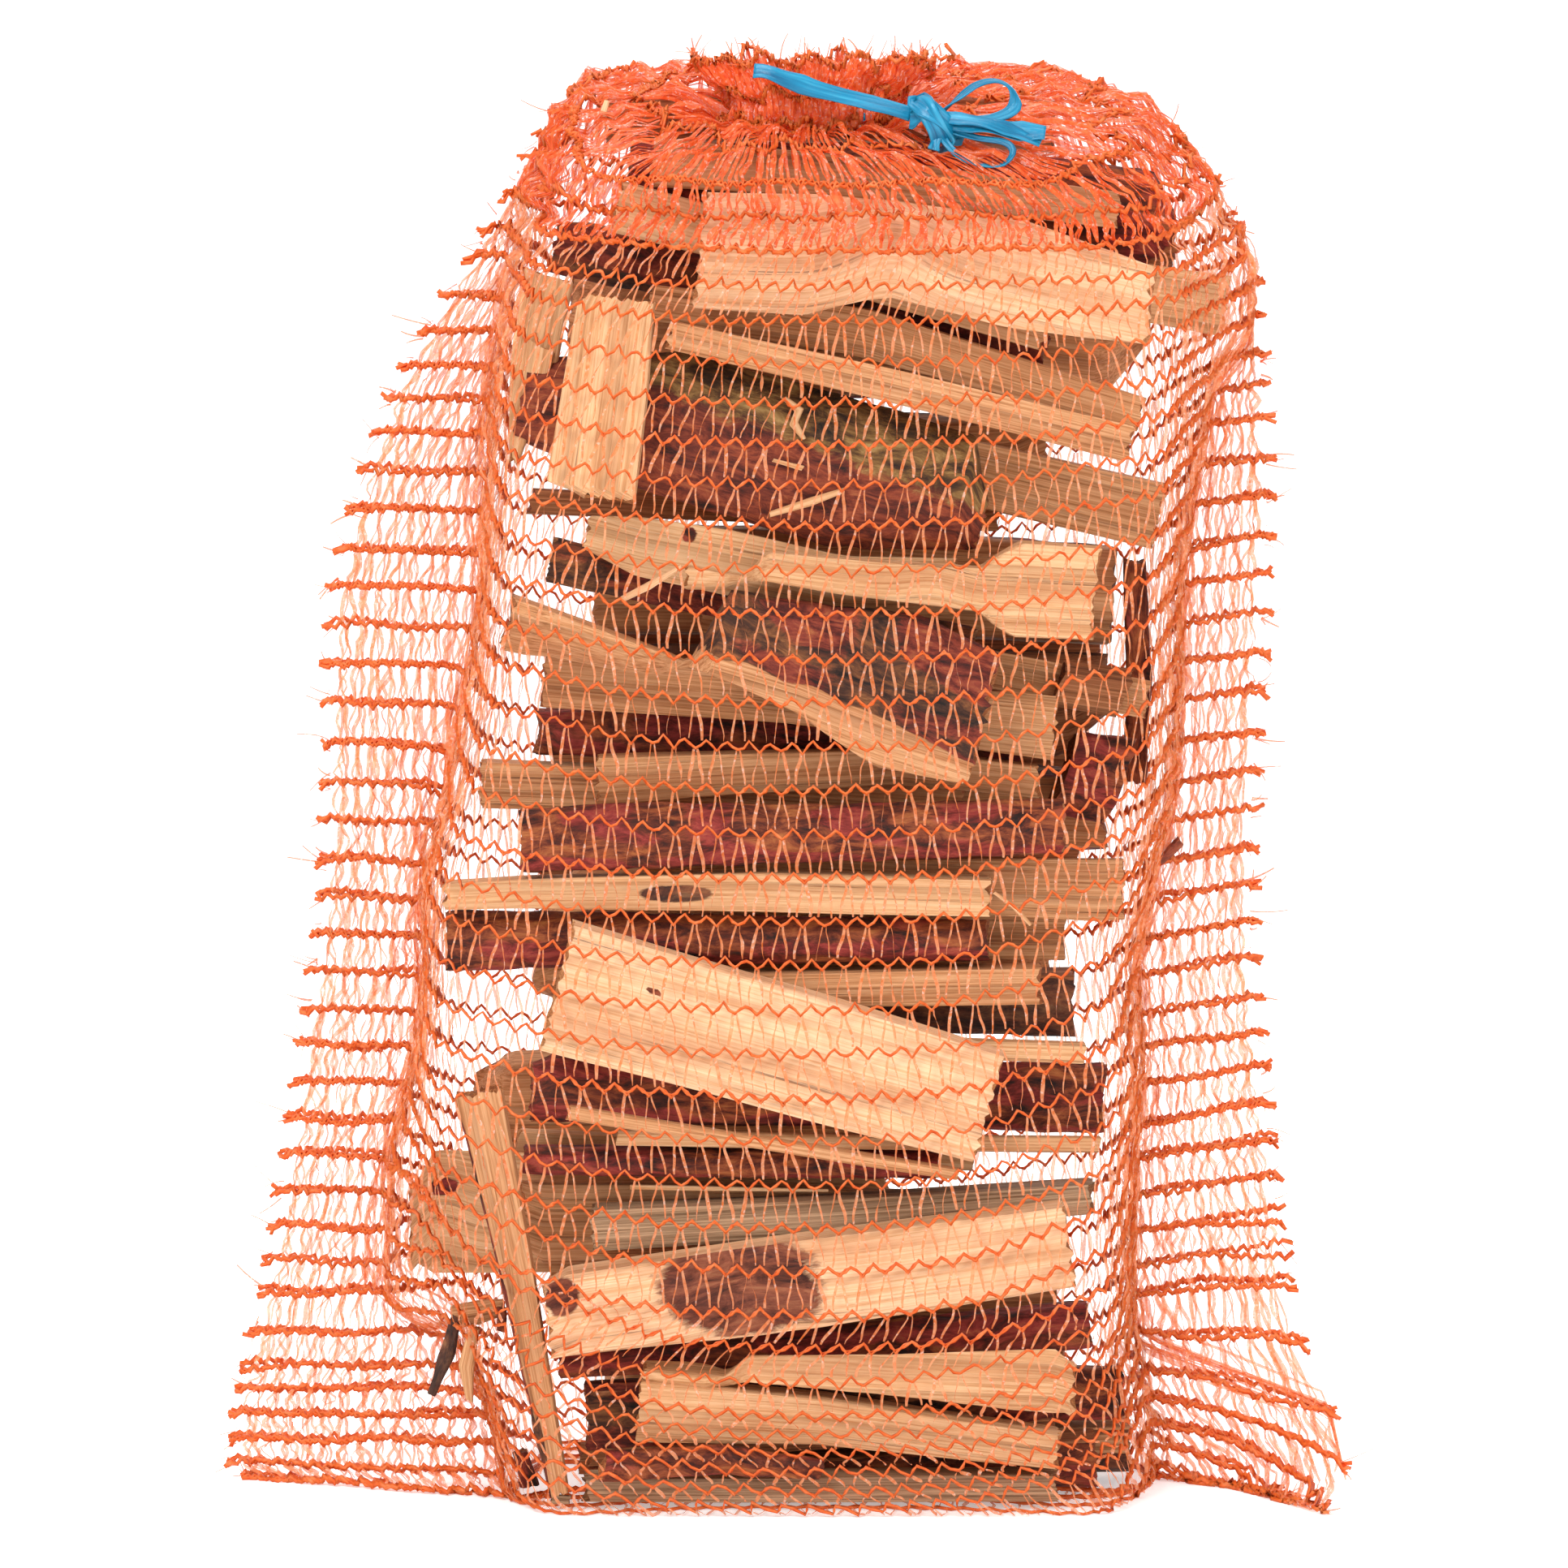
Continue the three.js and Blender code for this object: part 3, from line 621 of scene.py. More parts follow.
def film_tapes(face, sack, rows, width, low, high, layers=1):
    """From each valley of a row two tapes spread down to the next row's peaks."""
    rng = np.random.default_rng(77 + face + low)
    steps = np.linspace(0, 1, 7)
    stitch = np.arange(1, sack.wales, dtype=float) * PARTS
    start = np.concatenate([stitch, stitch])
    end = start + np.repeat([-PARTS / 2, PARTS / 2], len(stitch))
    shape = (len(start), 1)
    across_row = np.arange(sack.count)
    bow = np.sin(math.pi * steps)[None]
    ease = steps ** 2 * (3 - 2 * steps)
    taper = 0.5 + 0.5 * np.sin(math.pi * np.clip(steps, 0.04, 0.96)) ** 0.5
    lines, sides, widths, folds = [], [], [], []
    for row in np.repeat(np.arange(low, high), layers):
        top = np.interp(start, across_row, rows.line[row])
        foot = np.interp(end, across_row, rows.line[row - 1])
        wander = rng.normal(0, 1, shape)
        second = np.sin(2 * math.pi * steps)[None] * rng.normal(0, 1, shape)
        rise = top[:, None] * (1 - steps) + foot[:, None] * steps
        slack = np.clip(1 - stretch(face, start, top, sack), 0, 1)[:, None]
        spread = 0.16 + (0.46 - 0.2 * slack) * ease + 0.06 * bow
        across = start[:, None] + (end - start)[:, None] * spread
        loose = np.clip(1 - stretch(face, across, rise, sack), 0, 2)
        free = np.clip(loose, 0, 1)
        third = np.sin(3 * math.pi * steps)[None] * rng.normal(0, 1, shape)
        drift = 0.1 + 0.5 * free - 0.25 * np.clip(loose - 1, 0, 1)
        across = across + drift * (wander * bow + 0.8 * second + 0.5 * third)
        base = sack.point(face, across, rise)
        normal = sack.outward(face, across, rise)
        place = crumple(base, normal, rise, 3 + face, 0.35 + 0.9 * free)
        billow = rng.normal(0.5, 0.9, shape) * bow * (0.4 + 0.9 * free)
        place = place + normal * (0.55 + billow)[..., None]
        place[..., 2] = np.maximum(place[..., 2], 0.5)
        twisted = rng.random(shape) < 0.22
        turn = rng.normal(0, 0.55, shape) + steps * np.where(
            twisted, rng.normal(0, 2.6, shape), rng.normal(0, 0.5, shape))
        full = width / MM * rng.uniform(0.5, 1.15, shape) * (1 + 0.25 * free) * taper
        lines.append(place)
        sides.append(cross_ways(place, normal, turn))
        widths.append(full)
        folds.append(rng.normal(0, 0.2, full.shape) * full)
    return ribbons(*[np.concatenate(part) for part in (lines, sides, widths, folds)])


def root_folds(face, sack, width, count=120):
    """Tapes drawn together in upright folds where each wing leaves the wood."""
    rng = np.random.default_rng(31 + face)
    steps = np.linspace(0, 1, 10)
    shape = (count, 1)
    lines, sides, widths = [], [], []
    for root in sack.roots(face):
        start = rng.uniform(4, 470, shape)
        rise = start + rng.uniform(16, 60, shape) * steps
        at = np.interp(level_of(rise), np.arange(len(root)), root)
        across = at + rng.normal(0, 4.2, shape) + rng.normal(0, 1.4, shape) * np.sin(
            rng.uniform(1, 3, shape) * math.pi * steps)
        normal = sack.outward(face, across, rise)
        bulge = rng.uniform(-0.4, 1.6, shape) + 0.5 * np.sin(7 * steps + rng.uniform(0, 6, shape))
        place = sack.point(face, across, rise) + normal * bulge[..., None]
        turn = rng.normal(0, 0.9, shape) + steps * rng.normal(0, 1.5, shape)
        lines.append(place)
        sides.append(cross_ways(place, normal, turn))
        widths.append(width / MM * rng.uniform(0.5, 1.5, shape)
                      * (0.35 + 0.65 * np.sin(math.pi * steps)))
    lines, sides, widths = [np.concatenate(part) for part in (lines, sides, widths)]
    return ribbons(lines, sides, widths, 0.2 * widths)


def loose_ends(face, sack, rows, width):
    """Cut ends of tape that stick out along the wings' edges and round the frill."""
    rng = np.random.default_rng(52 + face)
    steps = np.linspace(0, 1, 5)
    row = np.concatenate([np.repeat(np.arange(0, LAST_ROW - 4), 4), np.full(110, LAST_ROW)])
    edge = np.where(rng.random(len(row)) < 0.5, 0.5, sack.count - 1.5)
    across = np.where(row == LAST_ROW, rng.uniform(2, sack.count - 3, len(row)), edge)
    rise = rows.plain[row, across.astype(int)] + rng.uniform(-4, 4, len(row)) * (row < LAST_ROW)
    base = sack.point(face, across, rise)
    normal = sack.outward(face, across, rise)
    base = crumple(base, normal, rise, 3 + face, 0.35)
    away = np.stack([np.sign(across - sack.count / 2), 0 * across, 0 * across], 1)
    away = np.where((row == LAST_ROW)[:, None], normal * 0.6 + (0, 0, 0.8), away)
    away = away + rng.normal(0, 0.55, away.shape)
    curl = rng.normal(0, 0.8, away.shape)
    length = rng.uniform(2, 7, (len(row), 1, 1))
    lines = (base[:, None] + length * (away[:, None] * steps[:, None]
                                       + curl[:, None] * (steps ** 2)[:, None] * 0.5))
    lines[..., 2] = np.clip(lines[..., 2], 0.5, 600)
    normals = np.broadcast_to(normal[:, None], lines.shape)
    turn = rng.normal(0, 1, (len(row), 1)) + 0 * steps
    widths = width / MM * rng.uniform(0.3, 0.8, (len(row), 1)) * (1 - 0.5 * steps)
    return ribbons(lines, cross_ways(lines, normals, turn), widths, 0.1 * widths)


class FIREWOOD_OT_net(bpy.types.Operator):
    """Knits the net sack: chain-stitched rows, and film tapes between them, on both faces"""
    bl_idname = "firewood.net"
    bl_label = "Net sack"

    def execute(self, context):
        settings = context.scene.firewood_net
        sack = Sack(settings.wales)
        yarn = knitted_polyethylene(settings.colour)
        film = slit_film_polyethylene("slit_film_polyethylene", "F07A34", "FFB282", 0.66)
        bunched = slit_film_polyethylene("bunched_film_polyethylene", "EE5A1C", "FF8A4C", 0.74)
        wide = settings.tape_width
        for face, side in ((-1, "front"), (1, "back")):
            rows = Rows(face, sack, settings.zigzag / MM)
            layers = {
                "rows": (yarn, knitted_rows(face, sack, rows, settings.chain_thickness)),
                "tapes": (film, film_tapes(face, sack, rows, wide, 1, GATHER_ROW)),
                "gather": (bunched, film_tapes(face, sack, rows, wide, GATHER_ROW, LAST_ROW + 1, 2)),
                "folds": (film, root_folds(face, sack, wide)),
                "ends": (bunched, loose_ends(face, sack, rows, wide)),
            }
            for layer, (material, shape) in layers.items():
                piece = mesh_object(f"net_{layer}_{side}", *shape, material, "knitted_net")
                if face < 0 and layer == "rows":
                    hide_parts("net_sack")
        return {"FINISHED"}


# ------------------------------------------------------------------ sticks
# Each stick's wood tone and bark tone, and where it has bark, the side that it is on and how far
# round it comes.
FRONT, BACK, TOP, LOW = (0, -1, 0), (0, 1, 0), (0, -0.3, 1), (0, -0.3, -1)
STICKS = {
    "top_log": ("cream", "red"), "top_right_stick": ("pale", "red"),
    "top_middle_billet": ("brown", "red", TOP, 0.1), "top_back_billet": ("brown", "red", BACK, 0),
    "top_left_stick": ("pale", "red"), "second_left_stick": ("pale", "red"),
    "shoulder_stick": ("brown", "dark", LOW, -0.1), "long_slant_stick": ("tan", "red"),
    "grooved_slant_stick": ("tan", "dark"), "back_shoulder_billet": ("tan", "red", BACK, 0),
    "upright_offcut": ("pale", "red"), "large_bark_billet": ("tan", "mottled", FRONT, -0.3),
    "right_brown_stick": ("tan", "brown"), "back_upper_billet": ("tan", "brown", BACK, 0),
    "pale_left_stick": ("pale", "red"), "stepped_pale_stick": ("pale", "red"),
    "dark_bark_stick": ("grey", "dark", TOP, -0.6), "black_bark_billet": ("tan", "dark", TOP, -0.1),
    "curved_pale_stick": ("tan", "brown"), "red_ridged_stick": ("brown", "red", FRONT, -0.3),
    "left_pale_stick": ("tan", "red"), "ribbed_pale_stick": ("tan", "brown"),
    "right_slant_stick": ("tan", "brown"), "back_middle_billet": ("tan", "red", BACK, 0),
    "back_low_middle_billet": ("brown", "brown", BACK, 0),
    "right_upright_stick": ("brown", "red", FRONT, -0.2),
    "long_bark_billet": ("pale", "red", FRONT, -0.35),
    "back_red_billet": ("tan", "red", BACK, -0.2), "long_pale_stick": ("pale", "brown"),
    "right_pale_stick": ("tan", "red"), "dark_long_billet": ("brown", "red", FRONT, -0.2),
    "middle_core_billet": ("tan", "brown"), "lower_pale_stick": ("tan", "red"),
    "round_end_stick": ("brown", "brown", LOW, 0.1), "front_slant_board": ("cream", "red"),
    "back_large_billet": ("tan", "brown", BACK, 0), "left_block_stick": ("tan", "red", FRONT, -0.1),
    "right_red_billet": ("tan", "red", FRONT, -0.3),
    "thin_red_stick": ("brown", "red", FRONT, -0.3), "back_wide_billet": ("tan", "red", BACK, 0),
    "left_end_block": ("tan", "red"), "grey_long_stick": ("grey", "dark"),
    "front_bright_board": ("cream", "russet"), "leaning_stick": ("tan", "dark", (-1, -0.2, 0), 0.5),
    "knot_end_billet": ("pale", "red"), "core_stick": ("brown", "brown"),
    "dark_under_stick": ("brown", "red", TOP, -0.5), "lower_wedge_stick": ("pale", "dark"),
    "lower_long_stick": ("pale", "dark"), "bottom_left_billet": ("brown", "dark", TOP, 0.2),
    "bottom_front_stick": ("grey", "dark"), "bottom_block_stick": ("brown", "red", LOW, -0.1),
    "red_corner_stick": ("tan", "red", TOP, -0.6),
    "rounded_corner_stick": ("tan", "brown", LOW, 0.2), "back_low_billet": ("tan", "red", BACK, 0),
    "back_bottom_billet": ("tan", "brown", BACK, 0),
}
# Thin laths, splinters and loose bark: wood, bark, front y, depth, and the middle line from end to
# end as x, z and height there, all in mm.
SPLINTERS = {
    "torn_slab": ("pale", "red", -44, 8, (-93.9, 495.6, 20), (-100, 462, 19), (-105, 441, 11),
        (-108, 423, 4)),
    "torn_spike": ("pale", "red", -47, 5, (-97, 468, 12), (-100, 452, 9), (-103.5, 436, 3)),
    "thin_brown_stick": ("brown", "brown", 0, 12, (-103.7, 405, 11), (87, 397, 9)),
    "split_lath": ("pale", "red", -50, 8, (-54.3, 189.7, 7.8), (120.7, 184.1, 8.5)),
    "low_lath": ("pale", "red", -49, 8, (-67.5, 149.2, 5.9), (127.5, 146.6, 6.6)),
    "under_board_lath": ("tan", "red", -66, 8, (-86.4, 162.4, 5.8), (69.6, 137.4, 4.6)),
    "left_lath": ("pale", "red", -26, 12, (-108.7, 144.3, 9.3), (77.5, 136.3, 8)),
    "hair_splinter": ("pale", "red", -40, 2, (-62.6, 128.2, 1.6), (17.8, 126.9, 1.6)),
    "red_bark_strip": ("tan", "red", -70, 4, (-73.1, 18.8, 11.7), (-28, 22.1, 11.1),
        (14.4, 18.1, 7.2)),
    "curled_splinter": ("pale", "red", -53, 3, (-0.3, 448.3, 1.9), (6.1, 443.1, 3.6),
        (3.9, 437.7, 3.4), (7.8, 431.9, 1.6)),
    "cross_splinter": ("pale", "red", -54, 3, (-5.8, 401.5, 1.9), (11, 406.7, 2.9),
        (23.9, 411.2, 1.6)),
    "short_splinter": ("pale", "red", -54, 2, (-4.5, 423.2, 1.3), (7.4, 419.9, 1.9)),
    "pale_splinter": ("cream", "red", -66, 3, (-64.4, 368.2, 2.3), (-53.5, 373.6, 3.2),
        (-40.6, 381.4, 1.6)),
    "top_splinter": ("cream", "red", -20, 4, (-71.2, 566.7, 2), (-73.2, 559.9, 3.3),
        (-76.1, 552.1, 1.6)),
    "hook_splinter": ("pale", "red", -64, 2, (83.9, 251, 1), (92, 245.2, 1.6), (98.5, 238, 1)),
    "loose_chip": ("tan", "red", -40, 5, (-135.3, 75.2, 7.9), (-124.1, 76.5, 9.9),
        (-114.8, 78.5, 6.6)),
    "hanging_strip": ("tan", "red", -45, 3, (-125.8, 71.4, 4), (-129.2, 55.1, 5.9),
        (-127.9, 41.4, 2.6)),
    "red_flake": ("brown", "red", -44, 3, (-114.6, 79.3, 2.6), (-114.7, 69.9, 3.3)),
    "curled_bark": ("brown", "brown", -40, 4, (-133.3, 75.5, 3), (-136.8, 61, 5.2),
        (-143.5, 43, 2)),
    "wing_flake": ("brown", "dark", -8, 3, (154.3, 257.7, 2.3), (162.5, 266.3, 3)),
    "corner_scrap": ("grey", "dark", -62, 5, (-93.4, 4.4, 3.9), (-86.5, 4.0, 3.3)),
    "corner_bark": ("brown", "dark", -40, 6, (-107.9, 19, 4.6), (-104, 5, 6)),
    "back_upper_lath": ("brown", "brown", 65.8, 4.2, (-96, 343, 13), (134, 344, 14)),
    "back_middle_lath": ("tan", "brown", 65.8, 4.2, (-98, 293, 13), (132, 292, 14)),
    "back_lower_lath": ("brown", "brown", 65.8, 4.2, (-102, 250, 14), (124, 251, 14)),
    "right_brown_offcut": ("brown", "brown", -12, 7, (112, 331, 19), (139, 327, 21)),
    "right_red_offcut": ("brown", "red", -5, 17, (115, 294, 33), (138, 290, 36)),
}
BARKED_SPLINTERS = ("red_bark_strip", "red_flake", "curled_bark", "wing_flake", "corner_bark",
                    "right_red_offcut")
HIDDEN = ("core_stick", "middle_core_billet", "top_back_billet")
# How finely a stick is drawn: cuts along it, looks round each cut, then its points both ways.
SEEN_DETAIL, HIDDEN_DETAIL = (22, 150, (66, 60)), (14, 96, (44, 40))
SMALL_DETAIL = (36, 24)
BARK_RISE, TORN_END = 0.5 * MM, 2.2 * MM
# Patches of bark and knots on the faces: stick, x and z of the middle, half widths, all in mm.
PATCHES = (
    ("front_bright_board", -17.5, 93.0, 31.0, 19.0), ("front_bright_board", -89.0, 88.5, 6.5, 7.5),
    ("long_pale_stick", -44.0, 250.0, 14.0, 3.2), ("knot_end_billet", -141.0, 122.0, 6.0, 4.0),
    ("left_block_stick", -40.0, 166.0, 60.0, 14.0), ("pale_left_stick", -38.0, 393.0, 3.0, 3.0),
    ("front_slant_board", -52.0, 212.0, 4.0, 1.2),
)
# Where the black bark ends on its billet, above the split face: x and z.
SPLIT_LINE = ([-95, -42, 12, 47, 78], [367, 350, 331, 316, 299])
# Knots that the ring lines bend round: stick, x along it, how far they rise, half length, in mm.
KNOTS = (("top_log", 42.0, 9.0, 20.0), ("knot_end_billet", -141.0, 6.0, 12.0),
         ("stepped_pale_stick", 60.0, 3.0, 14.0), ("front_bright_board", -17.0, 5.0, 26.0))


class Outline:
    """A stick's shape as even rings of points, found by looking outward from its middle line."""

    def __init__(self, node, stations, looks):
        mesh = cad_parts[node].data
        points = np.empty(len(mesh.vertices) * 3)
        mesh.vertices.foreach_get("co", points)
        points = points.reshape(-1, 3)
        self.tree = BVHTree.FromPolygons([Vector(p) for p in points],
                                         [tuple(f.vertices) for f in mesh.polygons])
        self.middle = (points.min(0) + points.max(0)) / 2
        unique = np.unique(np.round(points, 5), axis=0)
        axis = np.linalg.svd(unique - unique.mean(0))[2][0]
        upright = abs(axis[2]) > 0.8
        axis = axis * np.sign(axis[2] if upright else axis[0])
        up = np.array([1.0, 0, 0]) if upright else np.array([0, 0, 1.0])
        up = up - axis * up.dot(axis)
        self.axis, self.up = axis, up / np.linalg.norm(up)
        self.depth = np.cross(self.axis, self.up)
        run, over, deep = [(unique - self.middle) @ way for way in (axis, self.up, self.depth)]
        self.aspect = np.ptp(deep) / 2 / max(np.ptp(over) / 2, 1e-6)
        inset = 1.1 * MM
        self.rings = np.array([self.ring(at, looks) for at in
                               np.linspace(run.min() + inset, run.max() - inset, stations)])

    def look(self, start, way):
        hit = self.tree.ray_cast(Vector(start), Vector(way), 0.2)
        return hit[3] if hit[0] is not None else None

    def centre(self, run):
        """The middle of the section, by measuring across both ways twice."""
        place = self.middle + self.axis * run
        for _ in range(2):
            for way in (self.up, self.depth):
                over, under = self.look(place, way), self.look(place, -way)
                if over is not None and under is not None:
                    place = place + way * (over - under) / 2
        return place

    def ring(self, run, looks):
        place = self.centre(run)
        aspect = min(max(self.aspect, 0.3), 3)
        out, last = [], 0.01
        for angle in np.linspace(0, 2 * math.pi, looks, endpoint=False):
            way = self.up * math.cos(angle) + self.depth * math.sin(angle) * aspect
            way /= np.linalg.norm(way)
            reach = self.look(place, way)
            last = reach if reach is not None else last
            out.append(place + way * last)
        return np.array(out)

    def even(self, stations, around):
        """Rings with evenly spaced points, as (station, point, 3) in metres."""
        closed = np.concatenate([self.rings, self.rings[:, :1]], 1)
        rings = []
        for ring in closed:
            run = running(ring)
            rings.append(sampled(np.linspace(0, run[-1], around, endpoint=False), run, ring))
        flat = np.reshape(rings, (len(rings), -1))
        old, new = np.linspace(0, 1, len(rings)), np.linspace(0, 1, stations)
        return sampled(new, old, flat).reshape(stations, around, 3)


class Lath:
    """A small piece drawn as rings along its middle line, with blunt and slightly skewed ends."""

    def __init__(self, front, depth, *line):
        x, z, height = np.array(line, float).T
        run = np.concatenate([[0], np.cumsum(np.hypot(np.diff(x), np.diff(z)))])
        self.line = run, x, z, height
        way = np.array([x[-1] - x[0], 0, z[-1] - z[0]])
        self.axis = way / np.linalg.norm(way)
        self.up = np.array([-self.axis[2], 0, self.axis[0]])
        self.depth = np.cross(self.axis, self.up)
        self.middle = np.array([x.mean(), front + depth / 2, z.mean()]) * MM
        self.front, self.thick = front, depth

    def even(self, stations, around):
        run, x, z, height = self.line
        at = np.linspace(0, run[-1], stations)
        angle = np.linspace(0, 2 * math.pi, around, endpoint=False)
        rise = np.sign(np.cos(angle)) * np.abs(np.cos(angle)) ** 0.5
        back = np.sign(np.sin(angle)) * np.abs(np.sin(angle)) ** 0.5
        centre = np.stack([np.interp(at, run, x), np.full(stations, self.front + self.thick / 2),
                           np.interp(at, run, z)], 1)
        half = np.interp(at, run, height)[:, None] / 2
        return MM * (centre[:, None] + (half * rise)[..., None] * self.up
                     + (self.thick / 2 * back)[None, :, None] * self.depth
                     + (0.2 * half * rise)[..., None] * self.axis)


class FIREWOOD_OT_sticks(bpy.types.Operator):
    """Splits the sticks: fibre ridges along the grain, rough ends, and bark where it is left on"""
    bl_idname = "firewood.sticks"
    bl_label = "Split sticks"

    def execute(self, context):
        settings = context.scene.firewood_wood
        materials = {}
        for tones in [row[:2] for table in (STICKS, SPLINTERS) for row in table.values()]:
            if tones not in materials:
                materials[tones] = split_softwood(*tones)
        for index, (node, (wood, bark, *cover)) in enumerate(STICKS.items()):
            hidden = node.startswith("back_") or node in HIDDEN
            side, reach = cover or (None, 0)
            slot = "split_wood" if side is None else "barked_wood"
            cuts, looks, size = HIDDEN_DETAIL if hidden else SEEN_DETAIL
            self.stick(node, Outline(node, cuts, looks), size, index, side, reach,
                       materials[wood, bark], slot, settings)
        for index, (name, (wood, bark, *shape)) in enumerate(SPLINTERS.items()):
            side = FRONT if name in BARKED_SPLINTERS else None
            self.stick(name, Lath(*shape), SMALL_DETAIL, index + 70, side, -0.5,
                       materials[wood, bark], "split_wood", settings)
        return {"FINISHED"}

    def stick(self, node, outline, size, index, side, reach, material, slot, settings):
        stations, around = size
        rings = outline.even(stations, around)
        inward = rings.mean(1, keepdims=True)
        spread = np.roll(rings, -1, 1) - np.roll(rings, 1, 1)
        normal = unit(np.cross(spread, outline.axis))
        normal *= np.sign(((rings - inward) * normal).sum(-1, keepdims=True).mean())
        run = (rings - outline.middle) @ outline.axis
        a = (rings - inward) @ outline.up
        b = (rings - inward) @ outline.depth
        bark = np.zeros(run.shape)
        if side is not None:
            way = np.array(side, float) / np.linalg.norm(side)
            facing = normal @ way
            ragged = roughness_field(run, a + b, index + 300, 0.05, 0.02)
            bark = np.clip((facing - reach + 0.18 * ragged) / 0.3 + 0.5, 0, 1)
        humps = roughness_field(run, a * 0.7 + b, index + 120, 0.03, 0.012)
        x, z = rings[..., 0] / MM, rings[..., 2] / MM
        patch = 0.5 + 0.9 * roughness_field(run, a + b, index + 410, 0.09, 0.03)
        if node == "large_bark_billet":
            patch = 0.5 + (x - 12) / 60 + (z - 428) / 22
        if node == "black_bark_billet":
            bark = bark * np.clip((z - np.interp(x, *SPLIT_LINE)) / 3 + 0.5 * humps, 0, 1)
        ahead = np.clip(-normal[..., 1] * 2, 0, 1)
        for stick, px, pz, rx, rz in PATCHES:
            if stick == node:
                away = np.sqrt(((x - px) / rx) ** 2 + ((z - pz) / rz) ** 2)
                bark = np.maximum(bark, np.clip(1.55 - away, 0, 1) * ahead)
        split = (roughness_field(run, a * 0.8 + b * 0.6, index, 0.16, 0.0085)
                 + 1.3 * roughness_field(run, a * 0.5 - b * 0.9, index + 60, 0.3, 0.024))
        lift = settings.ridge * split * (1 - bark) + settings.bark_bump * humps * bark
        lift += bark * BARK_RISE
        rings = rings + normal * lift[..., None]
        torn = TORN_END * min(1, outline.even(2, 8).std(1).max() / 0.006)
        rings += outline.axis * (torn * self.ragged_ends(a, b, stations, index))[..., None]
        warp = np.zeros(run.shape)
        for stick, px, rise, half in KNOTS:
            if stick == node:
                warp += rise * MM * np.exp(-((x - px) / half) ** 2) * (0.4 + 0.6 * np.clip(
                    1 - np.abs(a) / 0.03, 0, 1))
        turn = 0.35 * math.sin(index * 1.7)
        grain = np.stack([run + index * 0.37, (a - warp) * math.cos(turn) + b * math.sin(turn)
                          + index * 0.11, b * math.cos(turn) - (a - warp) * math.sin(turn)], -1)
        self.build(node, rings, grain, bark, patch, outline, material, slot)

    def ragged_ends(self, a, b, stations, index):
        """Lengthwise shift that roughens the saw cuts and fades out along the stick."""
        fade = np.zeros(stations)
        fade[:3] = (1, 0.5, 0.15)
        fade[-3:] = (0.15, 0.5, 1)
        return (roughness_field(a, b, index + 200, 0.009, 0.012)
                + 0.5 * roughness_field(a, b, index + 230, 0.0035, 0.005)) * fade[:, None]

    def build(self, node, rings, grain, bark, patch, outline, material, slot):
        stations, around = rings.shape[:2]
        points, facts, kinds = [rings.reshape(-1, 3)], [grain.reshape(-1, 3)], []
        kinds.append(np.stack([bark.ravel(), np.zeros(bark.size), np.clip(patch.ravel(), 0, 1)], 1))
        faces = grid_faces(stations, around)
        i = np.arange(around)
        j = (i + 1) % around
        total = stations * around
        for end, way in ((0, -1), (stations - 1, 1)):
            rim, facts_rim = rings[end], grain[end]
            centre, facts_centre = rim.mean(0), facts_rim.mean(0)
            previous = end * around
            for share in (0.96, 0.72, 0.48, 0.24):
                ring = centre + (rim - centre) * share
                bumps = roughness_field(ring @ outline.up, ring @ outline.depth, end + 9, 0.006, 0.008)
                ring = ring + outline.axis * (way * 0.0004 * bumps)[:, None]
                points.append(ring)
                facts.append(facts_centre + (facts_rim - facts_centre) * share)
                kinds.append(np.tile([0.0, 1.0, 0.0], (around, 1)))
                strip = np.stack([previous + i, previous + j, total + j, total + i], -1)
                faces += (strip if way > 0 else strip[:, ::-1]).tolist()
                previous, total = total, total + around
            points.append(centre[None])
            facts.append(facts_centre[None])
            kinds.append(np.array([[0.0, 1.0, 0.0]]))
            fan = np.stack([previous + i, previous + j, np.full(around, total)], -1)
            faces += (fan if way > 0 else fan[:, ::-1]).tolist()
            total += 1
        piece = mesh_object(f"{node}_wood", np.concatenate(points), faces, material, slot)
        name_points(piece, "grain", np.concatenate(facts))
        name_points(piece, "kind", np.concatenate(kinds))
        self.face_outward(piece)
        if node in STICKS:
            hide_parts(node)

    def face_outward(self, piece):
        bpy.ops.object.select_all(action="DESELECT")
        piece.select_set(True)
        bpy.context.view_layer.objects.active = piece
        bpy.ops.object.mode_set(mode="EDIT")
        bpy.ops.mesh.select_all(action="SELECT")
        bpy.ops.mesh.normals_make_consistent(inside=False)
        bpy.ops.object.mode_set(mode="OBJECT")
        bpy.ops.object.shade_smooth_by_angle(angle=math.radians(42))


# ------------------------------------------------------------------ drawstring
# The way of the doubled tape over the frill, in mm, and the knot's middle.
RUN = [(-12, -52, 577), (-9, -53, 577), (-5, -54, 576), (0, -54, 574), (6, -54, 572),
       (12, -53.5, 570), (18, -53, 568.5), (24, -52, 567), (30, -52, 565.5), (36, -52, 564),
       (42, -52.5, 562.5), (47, -53, 561), (50.3, -53, 560)]
KNOT = np.array([60.0, -53.0, 557.5])


def smooth_line(points, count):
    """Catmull-Rom curve through points, at even steps of its length."""
    p = np.array(points, float)
    p = np.concatenate([2 * p[:1] - p[1:2], p, 2 * p[-1:] - p[-2:-1]])
    out = []
    for k in range(1, len(p) - 2):
        for t in np.linspace(0, 1, 24, endpoint=False):
            out.append(0.5 * (2 * p[k] + (p[k + 1] - p[k - 1]) * t
                              + (2 * p[k - 1] - 5 * p[k] + 4 * p[k + 1] - p[k + 2]) * t ** 2
                              + (3 * p[k] - p[k - 1] - 3 * p[k + 1] + p[k + 2]) * t ** 3))
    out = np.array(out + [p[-2]])
    run = running(out)
    return sampled(np.linspace(0, run[-1], count), run, out)


